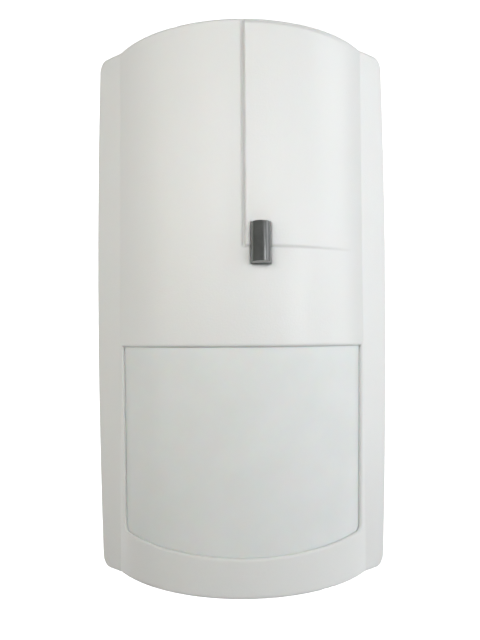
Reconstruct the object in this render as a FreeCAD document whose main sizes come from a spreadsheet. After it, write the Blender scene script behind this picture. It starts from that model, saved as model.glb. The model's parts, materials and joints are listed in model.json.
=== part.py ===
import FreeCAD, Part
import math
import os
import re
import Sketcher

# A dual-technology motion sensor for a wall, in millimetres.
# +X is to the right and +Z is up as seen from the room. The wall is the plane Y = 0.
# "Depth" is the distance out of the wall, so a depth of 10 lies at Y = -10.

SIZES = {
    # outside of the case
    "half_height": 61.5,
    "half_width": 35.0,
    "top_half_width": 34.4,
    "foot_half_width": 33.3,
    "side_bow_radius": 1550.0,
    "corner_radius": 2.9,
    "wing_edge": 26.7,
    "wing_slope": 0.8,
    "barrel_half": 28.5,
    "barrel_radius": 34.7,
    "rim_radius": 0.8,
    "wall": 2.2,
    "seam": 12.0,
    "seam_gap": 0.2,
    "overlap": 0.5,
    # raised panel of the cover, and the groove along its left edge
    "panel_lift": 0.5,
    "panel_end": 26.3,
    "panel_side": 28.0,
    "panel_foot": 12.3,
    "panel_bevel": 0.45,
    "groove_left": 0.35,
    "groove_right": 1.05,
    "groove_sink": 0.3,
    # light window
    "led_place_x": 4.3,
    "led_place_z": 13.05,
    "led_window_radius": 2.05,
    "led_window_height": 8.8,
    "led_window_axis": 47.6,
    "led_window_back": 42.5,
    "led_slot_gap": 0.1,
    "led_flange_width": 7.0,
    "led_flange_height": 11.6,
    "led_flange_thick": 1.0,
    "dome_round": 0.3,
    "dome_slant": 7.0,
    "guide_width": 2.4,
    "guide_height": 7.8,
    "guide_back": 15.8,
    # lens
    "lens_top": -8.9,
    "lens_side_foot": -51.1,
    "lens_half_top": 28.0,
    "lens_half_foot": 27.2,
    "lens_foot_radius": 194.0,
    "lens_corner": 1.6,
    "lens_lip": 0.42,
    "lens_sink": 0.7,
    "lens_thick": 0.9,
    "lens_land": 1.5,
    "fit_gap": 0.1,
    "frame_thick": 1.2,
    "frame_inner": 0.8,
    # stiffening ribs of the cover
    "rib_x": 12.0,
    "rib_z": 38.0,
    "rib_width": 1.2,
    "rib_back": 39.4,
    "rib_deep": 4.0,
    "rib_height": 32.0,
    # top hinge
    "pivot_depth": 14.2,
    "pivot_down": 2.0,
    "bead_radius": 2.0,
    "bead_half": 13.0,
    "lug_middle": 14.8,
    "lug_width": 3.0,
    "lug_radius": 1.9,
    "lug_notch_radius": 2.6,
    "pin_radius": 0.8,
    "pin_length": 3.0,
    "pin_bore_radius": 0.85,
    "pin_bore_depth": 3.3,
    # base
    "bevel_foot": 24.0,
    "lip_gap": 0.3,
    "lip_thick": 1.2,
    "lip_height": 3.0,
    "lip_top": 50.0,
    "lip_root_height": 1.5,
    "wall_hole_x": 15.0,
    "wall_hole_z": 38.0,
    "wall_hole_radius": 2.1,
    "corner_hole_z": 47.0,
    "corner_hole_depth": 5.5,
    "cable_hole_z": 55.0,
    "cable_hole_radius": 3.0,
    "mark_depth": 0.4,
    "mark_width": 0.6,
    "hole_ring_radius": 4.6,
    "knockout_x": 13.5,
    "knockout_z": 53.5,
    "knockout_radius": 3.6,
    "label_width": 26.0,
    "label_height": 16.0,
    "label_z": -22.0,
    "post_x": 21.0,
    "post_radius": 2.6,
    "post_inset": 5.0,
    "thread_radius": 1.25,
    "shank_radius": 1.2,
    "shank_back": 3.7,
    # lock screw at the foot
    "screw_depth": 20.0,
    "screw_radius": 1.45,
    "screw_bore_radius": 1.5,
    "screw_length": 9.0,
    "screw_head_radius": 2.75,
    "screw_head": 1.7,
    "screw_slot_width": 0.8,
    "screw_slot_depth": 0.9,
    "tab_half": 4.0,
    "tab_front": 22.6,
    "tab_under": -54.4,
    "tab_thick": 2.2,
    "tab_web_deep": 10.0,
    "tab_web_height": 4.0,
    "ring_radius": 2.7,
    "ring_thick": 0.6,
    "ring_gap": 0.5,
    # circuit board
    "board_back": 11.0,
    "board_thick": 1.6,
    "board_half_width": 26.0,
    "board_top": 50.0,
    "board_foot": -48.0,
    "board_gap": 0.1,
    "board_screw_z": -41.0,
    "board_slot_half": 2.2,
    "board_slot_radius": 1.7,
    "rail_width": 2.5,
    "rail_hook": 1.1,
    "rail_height": 16.0,
    "rail_upper_z": 28.0,
    "rail_lower_z": -22.0,
    "rail_root": 5.0,
    # heat sensor
    "pyro_z": -20.0,
    "pyro_holder_side": 11.0,
    "pyro_holder_thick": 1.8,
    "pyro_flange_radius": 4.6,
    "pyro_flange_thick": 0.5,
    "pyro_can_radius": 4.1,
    "pyro_can_height": 4.2,
    "pyro_window_width": 4.0,
    "pyro_window_height": 3.0,
    "pyro_skin": 0.3,
    "pyro_lead_circle": 2.54,
    "pyro_lead_radius": 0.22,
    "pyro_lead_length": 1.2,
    # microwave unit
    "radar_z": 30.0,
    "radar_width": 40.0,
    "radar_height": 20.0,
    "radar_back": 18.0,
    "radar_thick": 1.0,
    "radar_can_width": 30.0,
    "radar_can_height": 15.0,
    "radar_can_deep": 3.6,
    "radar_can_skin": 0.4,
    "radar_pin_x": 17.8,
    "pin_side": 0.64,
    "pin_pitch": 2.54,
    # indicator lights on the board
    "light_step": 3.0,
    "light_width": 1.6,
    "light_deep": 1.1,
    "light_height": 1.9,
    # terminal block
    "block_x": -11.0,
    "block_z": 45.2,
    "way_pitch": 3.81,
    "block_deep": 8.4,
    "block_tall": 9.0,
    "clamp_side": 2.6,
    "clamp_depth": 3.2,
    "way_screw_radius": 1.25,
    "way_screw_length": 3.2,
    "way_screw_sink": 0.6,
    "way_slot_deep": 0.6,
    "way_slot_width": 0.5,
    "way_well_floor": 3.0,
    "clamp_floor": 1.5,
    "clamp_height": 3.2,
    "clamp_wall": 0.4,
    # tamper switch
    "tamper_x": 21.0,
    "tamper_z": 0.0,
    "tamper_width": 5.0,
    "tamper_height": 7.0,
    "tamper_deep": 4.4,
    "plunger_side": 1.9,
    "plunger_gap": 0.05,
    "plunger_tip": 19.0,
    "plunger_floor": 1.2,
    "tamper_well_floor": 0.8,
    "post_clear": 0.3,
    "tamper_post_width": 2.4,
    "tamper_post_height": 5.0,
    "tamper_post_front": 38.0,
    # range trimmer
    "trimmer_x": -19.0,
    "trimmer_z": 10.0,
    "trimmer_side": 6.6,
    "trimmer_deep": 3.0,
    "rotor_radius": 2.2,
    "rotor_gap": 0.05,
    "rotor_sink": 1.6,
    "rotor_proud": 0.6,
    "rotor_slot_width": 0.7,
    "rotor_slot_deep": 1.0,
    "rotor_rim": 0.5,
    # jumpers
    "jumper_x": -18.0,
    "jumper_z": -1.0,
    "jumper_step": 4.6,
    "jumper_base": 2.5,
    "jumper_pin": 6.0,
    "cap_width": 2.4,
    "cap_length": 5.0,
    "cap_height": 5.2,
    "cap_hole": 0.9,
    "cap_proud": 0.8,
    # relay, integrated circuits, capacitors and crystal
    "relay_x": -18.0,
    "relay_z": -33.0,
    "relay_width": 7.2,
    "relay_deep": 6.8,
    "relay_height": 15.2,
    "controller_x": -2.4,
    "controller_z": 2.0,
    "controller_width": 7.5,
    "controller_height": 12.8,
    "amplifier_x": 12.5,
    "amplifier_z": -12.0,
    "amplifier_width": 3.9,
    "amplifier_height": 5.0,
    "chip_stand": 0.2,
    "chip_deep": 1.5,
    "leg_pitch": 1.27,
    "leg_reach": 1.0,
    "leg_deep": 0.7,
    "leg_width": 0.42,
    "capacitor_x": 17.0,
    "capacitor_z": -34.0,
    "capacitor_step": 8.0,
    "capacitor_radius": 3.0,
    "capacitor_tall": 7.0,
    "crystal_x": 12.5,
    "crystal_z": 4.0,
    "crystal_width": 4.2,
    "crystal_deep": 3.2,
    "crystal_height": 10.6,
}

doc = FreeCAD.newDocument("motion_sensor")
sheet = doc.addObject("Spreadsheet::Sheet", "Sizes")
for row, (alias, size) in enumerate(SIZES.items(), start=1):
    sheet.set("A%d" % row, alias)
    sheet.set("B%d" % row, str(size))
    sheet.setAlias("B%d" % row, alias)
doc.recompute()

WORD = re.compile(r"[a-z_]+")
QUARTER_TURN = 90
HALF = 0.5
BESIDE_REACH = 60

# depths and heights that several sub-parts share, written in the sheet's sizes
KINK = "(wing_edge + (half_width - barrel_half) * wing_slope)"
BARREL_AXIS = "(%s - sqrt(barrel_radius^2 - barrel_half^2))" % KINK
CREST = "(%s + barrel_radius)" % BARREL_AXIS
COVER_BACK = "(seam + seam_gap)"
PIVOT_Z = "(half_height - pivot_down)"
BOARD_FRONT = "(board_back + board_thick)"
OUTSIDE = "(half_width + 4)"
FAR_FRONT = "(%s + 6)" % CREST


def formula(text):
    """Point every size named in a formula at its cell in the sheet."""
    return WORD.sub(lambda m: "Sizes." + m.group() if m.group() in SIZES else m.group(), str(text))


def bind(item, prop, text):
    item.setExpression(prop, formula(text))


def number(text):
    """The present value of a formula, for first guesses and edge searches."""
    result = sheet.evalExpression(formula(text))
    return float(getattr(result, "Value", result))


def place(item, x, depth, z):
    bind(item, "Placement.Base.x", x)
    bind(item, "Placement.Base.y", "-(%s)" % depth)
    bind(item, "Placement.Base.z", z)


def block(name, x, depth, z, width, deep, height):
    """A box centred on x and z that starts at a depth and grows towards the room."""
    item = doc.addObject("Part::Box", name)
    bind(item, "Length", width)
    bind(item, "Width", deep)
    bind(item, "Height", height)
    place(item, "%s - (%s) / 2" % (x, width), "%s + %s" % (depth, deep), "%s - (%s) / 2" % (z, height))
    return item


def rod(name, direction, x, depth, z, radius, length):
    """A cylinder from a point: towards +X, towards the room ("out") or towards +Z ("up")."""
    turns = {"x": (0, 1, 0), "out": (1, 0, 0), "up": (0, 0, 1)}
    item = doc.addObject("Part::Cylinder", name)
    angle = 0 if direction == "up" else QUARTER_TURN
    item.Placement = FreeCAD.Placement(
        FreeCAD.Vector(), FreeCAD.Rotation(FreeCAD.Vector(*turns[direction]), angle))
    bind(item, "Radius", radius)
    bind(item, "Height", length)
    place(item, x, depth, z)
    return item


def cut(name, base, tool):
    item = doc.addObject("Part::Cut", name)
    item.Base = base
    item.Tool = tool
    return item


def common(name, one, other):
    item = doc.addObject("Part::MultiCommon", name)
    item.Shapes = [one, other]
    return item


def fuse(name, pieces):
    item = doc.addObject("Part::MultiFuse", name)
    item.Shapes = pieces
    item.Refine = True
    return item


def group(name, pieces):
    """Separate identical solids that share one sub-part."""
    item = doc.addObject("Part::Compound", name)
    item.Links = pieces
    return item


def round_edges(name, base, radius, wanted, kind="Part::Fillet"):
    """Round, or with "Part::Chamfer" bevel, the edges of a piece for which wanted(edge) holds."""
    doc.recompute()
    size = number(radius)
    item = doc.addObject(kind, name)
    item.Base = base
    item.Edges = [(i, size, size) for i, edge in enumerate(base.Shape.Edges, start=1) if wanted(edge)]
    return item


def arc_between(start, end, radius):
    """The arc from start to end; a positive radius has its centre on the left of the way."""
    chord = end - start
    middle = (start + end) * HALF
    rise = math.sqrt(max(radius ** 2 - (chord.Length * HALF) ** 2, 0))
    left = FreeCAD.Vector(-chord.y, chord.x, 0).normalize()
    centre = middle + left * math.copysign(rise, radius)
    first, last = (start, end) if radius > 0 else (end, start)
    angles = [math.atan2(p.y - centre.y, p.x - centre.x) for p in (first, last)]
    if angles[1] < angles[0]:
        angles[1] += 2 * math.pi
    circle = Part.Circle(centre, FreeCAD.Vector(0, 0, 1), abs(radius))
    return Part.ArcOfCircle(circle, *angles)


def draw(sketch, points):
    """Draw a closed outline. A point is (u, v) or (u, v, radius of the arc that follows it)."""
    spots = [FreeCAD.Vector(number(p[0]), number(p[1]), 0) for p in points]
    count = len(points)
    ends = []
    for i, point in enumerate(points):
        start, end = spots[i], spots[(i + 1) % count]
        if len(point) == 2:
            sketch.addGeometry(Part.LineSegment(start, end), False)
            ends.append((1, 2))
            continue
        radius = number(point[2])
        sketch.addGeometry(arc_between(start, end, radius), False)
        ends.append((1, 2) if radius > 0 else (2, 1))
        if abs(start.distanceToPoint(end) - 2 * abs(radius)) < 0.001:
            # the centre of a half circle stays level with its ends
            rule = sketch.addConstraint(Sketcher.Constraint("DistanceY", -1, 1, i, 3, start.y))
            sketch.setExpression("Constraints[%d]" % rule, formula(point[1]))
            continue
        rule = sketch.addConstraint(Sketcher.Constraint("Radius", i, abs(radius)))
        sketch.setExpression("Constraints[%d]" % rule, formula("abs(%s)" % point[2]))
    for i, point in enumerate(points):
        after = (i + 1) % count
        sketch.addConstraint(Sketcher.Constraint("Coincident", i, ends[i][1], after, ends[after][0]))
        for kind, text, size in (("DistanceX", point[0], spots[i].x), ("DistanceY", point[1], spots[i].y)):
            rule = sketch.addConstraint(Sketcher.Constraint(kind, -1, 1, i, ends[i][0], size))
            sketch.setExpression("Constraints[%d]" % rule, formula(text))


def flat_sketch(name, points, upright):
    """A sketch on the wall plane (upright) or on the floor plane."""
    sketch = doc.addObject("Sketcher::SketchObject", name)
    if upright:
        sketch.Placement.Rotation = FreeCAD.Rotation(FreeCAD.Vector(1, 0, 0), QUARTER_TURN)
    draw(sketch, points)
    return sketch


def offset(name, source, distance):
    item = doc.addObject("Part::Offset2D", name)
    item.Source = source
    item.Join = 2
    bind(item, "Value", distance)
    return item


def extrude(name, profile, start, length, upright):
    """Push a flat profile out of the wall (upright) or up from the floor plane."""
    item = doc.addObject("Part::Extrusion", name)
    item.Base = profile
    item.DirMode = "Custom"
    item.Dir = FreeCAD.Vector(0, -1, 0) if upright else FreeCAD.Vector(0, 0, 1)
    item.Solid = True
    bind(item, "LengthFwd", length)
    if upright:
        bind(item, "Placement.Base.y", "-(%s)" % start)
    else:
        bind(item, "Placement.Base.z", start)
    return item


def body_sketch(body, name, role, x, y, z, points):
    """A sketch in a body, on one of the body's own origin planes, moved within that plane's frame."""
    plane = next(o for o in body.Origin.OriginFeatures if o.Role == role)
    sketch = body.newObject("Sketcher::SketchObject", name)
    sketch.AttachmentSupport = [(plane, "")]
    sketch.MapMode = "FlatFace"
    bind(sketch, "AttachmentOffset.Base.x", x)
    bind(sketch, "AttachmentOffset.Base.y", y)
    bind(sketch, "AttachmentOffset.Base.z", z)
    draw(sketch, points)
    return sketch


def rectangle(half_width, half_height):
    return [
        ("-(%s)" % half_width, "-(%s)" % half_height),
        (half_width, "-(%s)" % half_height),
        (half_width, half_height),
        ("-(%s)" % half_width, half_height),
    ]


def plate(name, x, depth, z, width, deep, height):
    """A PartDesign body: a rectangle on the wall plane, padded out towards the room."""
    body = doc.addObject("PartDesign::Body", name)
    points = rectangle("(%s) / 2" % width, "(%s) / 2" % height)
    pad = body.newObject("PartDesign::Pad", name + "_pad")
    pad.Profile = body_sketch(body, name + "_sketch", "XZ_Plane", x, z, depth, points)
    bind(pad, "Length", deep)
    return body


def hollow(body, name, x, depth, z, points, deep):
    """Pocket a body from a depth towards the wall."""
    pocket = body.newObject("PartDesign::Pocket", name)
    pocket.Profile = body_sketch(body, name + "_sketch", "XZ_Plane", x, z, depth, points)
    bind(pocket, "Length", deep)
    return pocket


def turned(name, x, z, profile):
    """A PartDesign body turned about a line out of the wall; profile holds (radius, depth)."""
    body = doc.addObject("PartDesign::Body", name)
    points = [(radius, "-(%s)" % depth) for radius, depth in profile]
    sketch = body_sketch(body, name + "_sketch", "XY_Plane", x, 0, z, points)
    turn = body.newObject("PartDesign::Revolution", name + "_turn")
    turn.Profile = sketch
    turn.ReferenceAxis = (sketch, ["V_Axis"])
    turn.Angle = 360
    return body


def stepped(*steps):
    """The half profile of a turned piece from (radius, back depth, front depth) steps."""
    points = [("0", steps[0][1])]
    for radius, back, front in steps:
        points += [(radius, back), (radius, front)]
    points.append(("0", steps[-1][2]))
    return points


# ---------------------------------------------------------------- outlines shared by the case

def case_outline():
    """Front view of the case: straight ends and slightly bowed sides."""
    return flat_sketch("case_outline", [
        ("-top_half_width", "half_height", "side_bow_radius"),
        ("-foot_half_width", "-half_height"),
        ("foot_half_width", "-half_height", "side_bow_radius"),
        ("top_half_width", "half_height"),
    ], True)


def window_outline():
    """Front view of the lens opening, with its bowed foot."""
    return flat_sketch("window_outline", [
        ("-lens_half_top", "lens_top"),
        ("-lens_half_foot", "lens_side_foot", "lens_foot_radius"),
        ("lens_half_foot", "lens_side_foot"),
        ("lens_half_top", "lens_top"),
    ], True)


def cover_section():
    """Top view of the cover: a convex barrel between two sloping wings."""
    wing_end = "-(wing_edge - (%s - half_width) * wing_slope)" % OUTSIDE
    return flat_sketch("cover_section", [
        ("-" + OUTSIDE, "0"),
        ("-" + OUTSIDE, wing_end),
        ("-barrel_half", "-" + KINK, "barrel_radius"),
        ("barrel_half", "-" + KINK),
        (OUTSIDE, wing_end),
        (OUTSIDE, "0"),
    ], False)


def base_section():
    """Top view of the base: a flat back with 45 degree bevels for a room corner."""
    bevel_end = "(%s - bevel_foot)" % OUTSIDE
    return flat_sketch("base_section", [
        ("-bevel_foot", "0"),
        ("-" + OUTSIDE, "-" + bevel_end),
        ("-" + OUTSIDE, "-" + FAR_FRONT),
        (OUTSIDE, "-" + FAR_FRONT),
        (OUTSIDE, "-" + bevel_end),
        ("bevel_foot", "0"),
    ], False)


def end_rounded(name, prism, radius):
    """Round the four edges of a prism that run out of the wall."""
    def runs_out(edge):
        ends = [v.Point for v in edge.Vertexes]
        return len(ends) == 2 and abs(ends[0].y - ends[1].y) > 1 and abs(ends[0].x - ends[1].x) < 0.01
    return round_edges(name, prism, radius, runs_out)


def case_solid(name, section, outline, shrink):
    """The case's bulk: its top view extruded upwards, inside its front view extruded outwards."""
    top_view = extrude(name + "_top_view", section, "-half_height - 1", "2 * half_height + 2", False)
    front_view = extrude(name + "_front_view", outline, "-1", FAR_FRONT + " + 1", True)
    if not shrink:
        front_view = end_rounded(name + "_corners", front_view, "corner_radius")
    return common(name, top_view, front_view)


# ---------------------------------------------------------------- front cover

def barrel(name, inset, start, length):
    """A cylinder on the barrel's axis, smaller than the cover's barrel by the inset."""
    return rod(name, "up", 0, BARREL_AXIS, start, "barrel_radius - (%s)" % inset, length)


def arched_rod(name, half_chord, crest, start, length):
    """A vertical cylinder through the barrel's surface at +-half_chord and through a crest depth."""
    edge = "(%s + sqrt(barrel_radius^2 - %s^2))" % (BARREL_AXIS, half_chord)
    rise = "(%s - %s)" % (crest, edge)
    radius = "((%s^2 + %s^2) / (2 * %s))" % (half_chord, rise, rise)
    return rod(name, "up", 0, "%s - %s" % (crest, radius), start, radius, length)


def raised_panel():
    """The upper right part of the barrel, which stands a little proud and fades out sideways."""
    bulk = arched_rod("panel_bulk", "panel_end", "(%s + panel_lift)" % CREST, "panel_foot",
                      "half_height - rim_radius - panel_foot")
    area = block("panel_area", "(groove_right + panel_side) / 2", "%s - 14" % CREST, 0,
                 "panel_side - groove_right", "20", "4 * half_height")
    panel = common("panel_square", bulk, area)
    barrel_front = -number(CREST)
    return round_edges("raised_panel", panel, "panel_bevel", lambda e: (
        e.BoundBox.ZLength < 0.01 and e.BoundBox.XLength > 5
        and e.BoundBox.YMin < barrel_front), "Part::Chamfer")


def shadow_groove():
    """A groove along the raised panel's left edge, from its foot to the top."""
    tall = "(half_height + 1 - panel_foot)"
    return block("panel_groove", "(groove_left + groove_right) / 2", "%s - groove_sink" % CREST,
                 "half_height + 1 - %s / 2" % tall, "groove_right - groove_left", "5", tall)


def round_foot_corners(name, prism):
    """Round the two corners at the foot of the lens opening or of a prism around it."""
    foot = number("lens_side_foot") + 5

    def foot_corner(edge):
        ends = [v.Point for v in edge.Vertexes]
        return len(ends) == 2 and abs(ends[0].y - ends[1].y) > 1 and ends[0].z < foot
    return round_edges(name, prism, "lens_corner", foot_corner)


def window_prism(name, window, grow):
    """A prism around or inside the lens opening's outline."""
    profile = offset(name + "_profile", window, grow)
    return round_foot_corners(name, extrude(name + "_prism", profile, "10", FAR_FRONT, True))


def beside_lens(side, sign):
    """A block beside the lens opening. Its inner face follows the rim and points at the barrel's axis."""
    axis, radius = number(BARREL_AXIS), number("barrel_radius")

    def rim_point(half, z):
        x = number(half)
        return FreeCAD.Vector(sign * x, -axis - math.sqrt(radius ** 2 - x ** 2), number(z))
    top, foot = rim_point("lens_half_top", "lens_top"), rim_point("lens_half_foot", "lens_side_foot")
    middle = (top + foot) * HALF
    inward = FreeCAD.Vector(-middle.x, -axis - middle.y, 0).normalize()
    along = top - foot
    along = (along - inward * along.dot(inward)).normalize()
    away = inward.cross(along)
    away = away * math.copysign(1, away.x * sign)
    turn = FreeCAD.Rotation(away, along.cross(away), along, "XZY")
    item = doc.addObject("Part::Box", "beside_lens_" + side)
    item.Length = BESIDE_REACH
    item.Width = 2 * BESIDE_REACH
    item.Height = 2 * BESIDE_REACH
    item.Placement = FreeCAD.Placement(middle - turn.multVec(
        FreeCAD.Vector(0, BESIDE_REACH, BESIDE_REACH)), turn)
    return item


def lens_opening():
    """The opening in the barrel in front of the lens, with side walls square to the barrel."""
    wide = "(lens_half_foot + lens_land)"
    wide_foot = ("lens_side_foot + sqrt(lens_foot_radius^2 - lens_half_foot^2)"
                 " - sqrt(lens_foot_radius^2 - %s^2)" % wide)
    outline = flat_sketch("opening_outline", [
        ("-lens_half_top - lens_land", "lens_top"),
        ("-" + wide, wide_foot, "lens_foot_radius"),
        (wide, wide_foot),
        ("lens_half_top + lens_land", "lens_top"),
    ], True)
    opening = extrude("opening_prism", outline, "10", FAR_FRONT, True)
    for side, sign in (("left", -1), ("right", 1)):
        opening = cut("opening_square_" + side, opening, beside_lens(side, sign))
    return round_foot_corners("opening_rounded", opening)


def lens_lip(shell):
    """Break the outer edge of the lens opening all round."""
    doc.recompute()
    top, foot = number("lens_top"), number("lens_side_foot - 4")
    half, radius, axis = number("lens_half_top + 0.1"), number("barrel_radius"), number(BARREL_AXIS)

    def on_rim(edge):
        middle = edge.valueAt((edge.FirstParameter + edge.LastParameter) * HALF)
        within = foot < middle.z < top + 0.1 and abs(middle.x) < half and edge.Length > 0.5
        return within and abs(math.hypot(middle.x, middle.y + axis) - radius) < 0.01
    return round_edges("cover_lens_lip", shell, "lens_lip", on_rim, "Part::Chamfer")


def barrel_bulk():
    """The barrel between the kinks, with both ends rounded."""
    core = barrel("barrel_core", "0", "-half_height", "2 * half_height")
    core = round_edges("barrel_rounded", core, "rim_radius", lambda e: (
        e.BoundBox.ZLength < 0.01 and e.BoundBox.XLength > 1))
    area = block("barrel_area", 0, COVER_BACK, 0, "2 * barrel_half", FAR_FRONT, "4 * half_height")
    return common("barrel_bulk", core, area)


def wing_bulk(outline):
    """Both sloping wings, rounded along their ends, and trimmed to the case's outline."""
    def slope(x):
        return "-(wing_edge - ((%s) - half_width) * wing_slope)" % x
    root = "(barrel_half - 1.5)"
    section = flat_sketch("wing_section", [
        ("-" + OUTSIDE, "-" + COVER_BACK),
        ("-" + OUTSIDE, slope(OUTSIDE)),
        ("-" + root, slope(root)),
        ("-" + root, "-wing_edge"),
        (root, "-wing_edge"),
        (root, slope(root)),
        (OUTSIDE, slope(OUTSIDE)),
        (OUTSIDE, "-" + COVER_BACK),
    ], False)
    prism = extrude("wing_prism", section, "-half_height", "2 * half_height", False)

    def sloping_end(edge):
        box = edge.BoundBox
        return box.ZLength < 0.01 and box.XLength > 1 and box.YLength > 1
    prism = round_edges("wing_rounded", prism, "rim_radius", sloping_end)
    area = extrude("wing_area", outline, COVER_BACK, FAR_FRONT, True)
    return common("wing_bulk", prism, end_rounded("wing_corners", area, "corner_radius"))


def front_cover(outline, window):
    section = cover_section()
    body = fuse("cover_body", [barrel_bulk(), wing_bulk(outline)])
    bulk = fuse("cover_bulk", [body, raised_panel()])
    inner_top = extrude("cover_inner_top", offset("cover_inner_section", section, "-wall"),
                        "-half_height", "2 * half_height", False)
    inner_front = extrude("cover_inner_front", offset("cover_inner_outline", outline, "-wall"),
                          "5", FAR_FRONT, True)
    shell = cut("cover_shell", bulk, common("cover_inside", inner_top, inner_front))
    shell = cut("cover_grooved", shell, shadow_groove())
    shell = cut("cover_with_window", shell, lens_opening())
    shell = lens_lip(shell)
    rebate = common("lens_rebate", window_prism("lens_rebate_area", window, "lens_land"),
                    barrel("lens_rebate_barrel", "lens_sink", "-half_height", "half_height"))
    shell = cut("cover_with_rebate", shell, rebate)
    shell = cut("cover_with_light_slot", shell, block(
        "light_slot", "led_place_x", "30", "led_place_z",
        "2 * (led_window_radius + led_slot_gap)", "30", "led_window_height + 2 * led_slot_gap"))
    edge_square = block("hinge_square", 0, COVER_BACK + " - 1", PIVOT_Z + " + 2", "4 * half_width",
                        "pivot_depth - %s + 1" % COVER_BACK, "4")
    edge_round = rod("hinge_round", "x", "-2 * half_width", "pivot_depth", PIVOT_Z, "bead_radius",
                     "4 * half_width")
    shell = cut("cover_hinge_edge", shell, cut("hinge_edge_waste", edge_square, edge_round))
    bead = rod("hinge_bead", "x", "-bead_half", "pivot_depth", PIVOT_Z, "bead_radius", "2 * bead_half")
    tamper_post = block("tamper_post", "tamper_x", "plunger_tip + post_clear", "tamper_z",
                        "tamper_post_width", "tamper_post_front - plunger_tip - post_clear",
                        "tamper_post_height")
    ribs = [block("rib_" + side, x, "rib_back", "rib_z", "rib_width", "rib_deep", "rib_height")
            for side, x in (("left", "-rib_x"), ("right", "rib_x"))]
    shell = fuse("cover_with_fittings", [shell, bead, tamper_post] + ribs)
    for side, sign in (("left", "-1"), ("right", "1")):
        notch = rod("lug_notch_" + side, "x", "%s * lug_middle - lug_width / 2 - lip_gap" % sign,
                    "pivot_depth", PIVOT_Z, "lug_notch_radius", "lug_width + 2 * lip_gap")
        shell = cut("cover_notched_" + side, shell, notch)
        start = "bead_half - pin_bore_depth" if side == "right" else "-bead_half - 1"
        bore = rod("pin_bore_" + side, "x", start, "pivot_depth", PIVOT_Z, "pin_bore_radius",
                   "pin_bore_depth + 1")
        shell = cut("cover_bored_" + side, shell, bore)
    hole = rod("lock_screw_hole", "up", 0, "screw_depth", "-half_height - 1", "screw_bore_radius", "5")
    cover = cut("cover_finished", shell, hole)
    cover.Label = "front_cover"
    return cover


def light_window():
    """Smoked half-round bar with a flange behind the cover's wall."""
    foot = "led_place_z - led_window_height / 2"
    dome = rod("light_dome", "up", "led_place_x", "led_window_axis", foot, "led_window_radius",
               "led_window_height")
    high = number("led_place_z + led_window_height / 2")
    dome = round_edges("light_dome_top", dome, "dome_round", lambda e: (
        abs(e.BoundBox.ZMin - high) < 0.01 and e.BoundBox.XLength > 1))
    front = block("light_dome_front", "led_place_x", "led_window_axis", "led_place_z", "20", "5", "20")
    stem = block("light_stem", "led_place_x", "led_window_back", "led_place_z",
                 "2 * led_window_radius", "led_window_axis - led_window_back", "led_window_height")
    flange = block("light_flange", "led_place_x", "led_window_back", "led_place_z",
                   "led_flange_width", "led_flange_thick", "led_flange_height")
    slant = group("light_foot_waste", [block(
        "light_foot_block", "led_place_x", CREST, foot + " - 2.5", "20", "20", "5")])
    slant.Placement = FreeCAD.Placement(
        FreeCAD.Vector(), FreeCAD.Rotation(FreeCAD.Vector(1, 0, 0), -number("dome_slant")),
        FreeCAD.Vector(0, -number(CREST), number(foot)))
    dome = cut("light_dome_slanted", fuse(
        "light_bar", [common("light_dome_half", dome, front), stem]), slant)
    window = fuse("light_window", [dome, flange])
    window.Label = "led_window"
    guide = plate("light_guide", "led_place_x", "guide_back", "led_place_z", "guide_width",
                  "led_window_back - guide_back", "guide_height")
    guide.Label = "led_light_guide"
    return [window, guide]


def lens_parts(window):
    outer = barrel("lens_outer", "lens_sink + fit_gap / 2", "-half_height", "half_height")
    inner = barrel("lens_inner", "lens_sink + fit_gap / 2 + lens_thick", "-half_height - 1",
                   "half_height + 2")
    area = window_prism("lens_area", window, "lens_land - fit_gap")
    lens = common("lens_sheet", cut("lens_bent", outer, inner), area)
    lens.Label = "fresnel_lens"
    back = "lens_sink + lens_thick + fit_gap"
    frame_outer = barrel("frame_outer", back, "-half_height", "half_height")
    frame_inner = barrel("frame_inner_barrel", back + " + frame_thick", "-half_height - 1",
                         "half_height + 2")
    frame_area = cut("frame_ring", window_prism("frame_outside", window, "lens_land - fit_gap"),
                     window_prism("frame_inside", window, "-frame_inner"))
    frame = common("frame_sheet", cut("frame_bent", frame_outer, frame_inner), frame_area)
    frame.Label = "lens_frame"
    return [lens, frame]


# ---------------------------------------------------------------- rear base

def rear_base(outline):
    section = base_section()
    bulk = case_solid("base_bulk", section, outline, False)
    inside = case_solid("base_inside", offset("base_inner_section", section, "-wall"),
                        offset("base_inner_outline", outline, "-wall"), True)
    tray = cut("base_shell", bulk, inside)
    front = block("base_front_waste", 0, "seam", 0, "4 * half_width", FAR_FRONT, "4 * half_height")
    tray = cut("base_tray", tray, front)
    root = extrude("lip_root_outer", offset("lip_root_profile", outline, "-wall + overlap / 2"),
                   "seam - lip_root_height", "lip_root_height", True)
    rise = extrude("lip_outer", offset("lip_profile", outline, "-wall - lip_gap"),
                   "seam - overlap", "lip_height + overlap", True)
    hole = extrude("lip_inner", offset("lip_inner_profile", outline, "-wall - lip_gap - lip_thick"),
                   "seam - 4", "lip_height + 8", True)
    lip = cut("lip_ring", fuse("lip_stock", [root, rise]), hole)
    above = block("lip_top_waste", 0, "0", "lip_top + 10", "4 * half_width", "30", "20")
    tray = fuse("base_with_lip", [tray, cut("lip", lip, above)])
    tray = cut("base_hinge_relief", tray, rod("hinge_relief", "x", "-2 * half_width", "pivot_depth",
                                              PIVOT_Z, "lug_notch_radius", "4 * half_width"))
    fittings = hinge_lugs() + board_posts() + board_rails() + [lock_tab()]
    tray = fuse("base_with_fittings", [tray] + fittings)
    for tool in base_holes() + back_marks():
        tray = cut(tool.Name + "_cut", tray, tool)
    tray.Label = "rear_base"
    return tray


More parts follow.
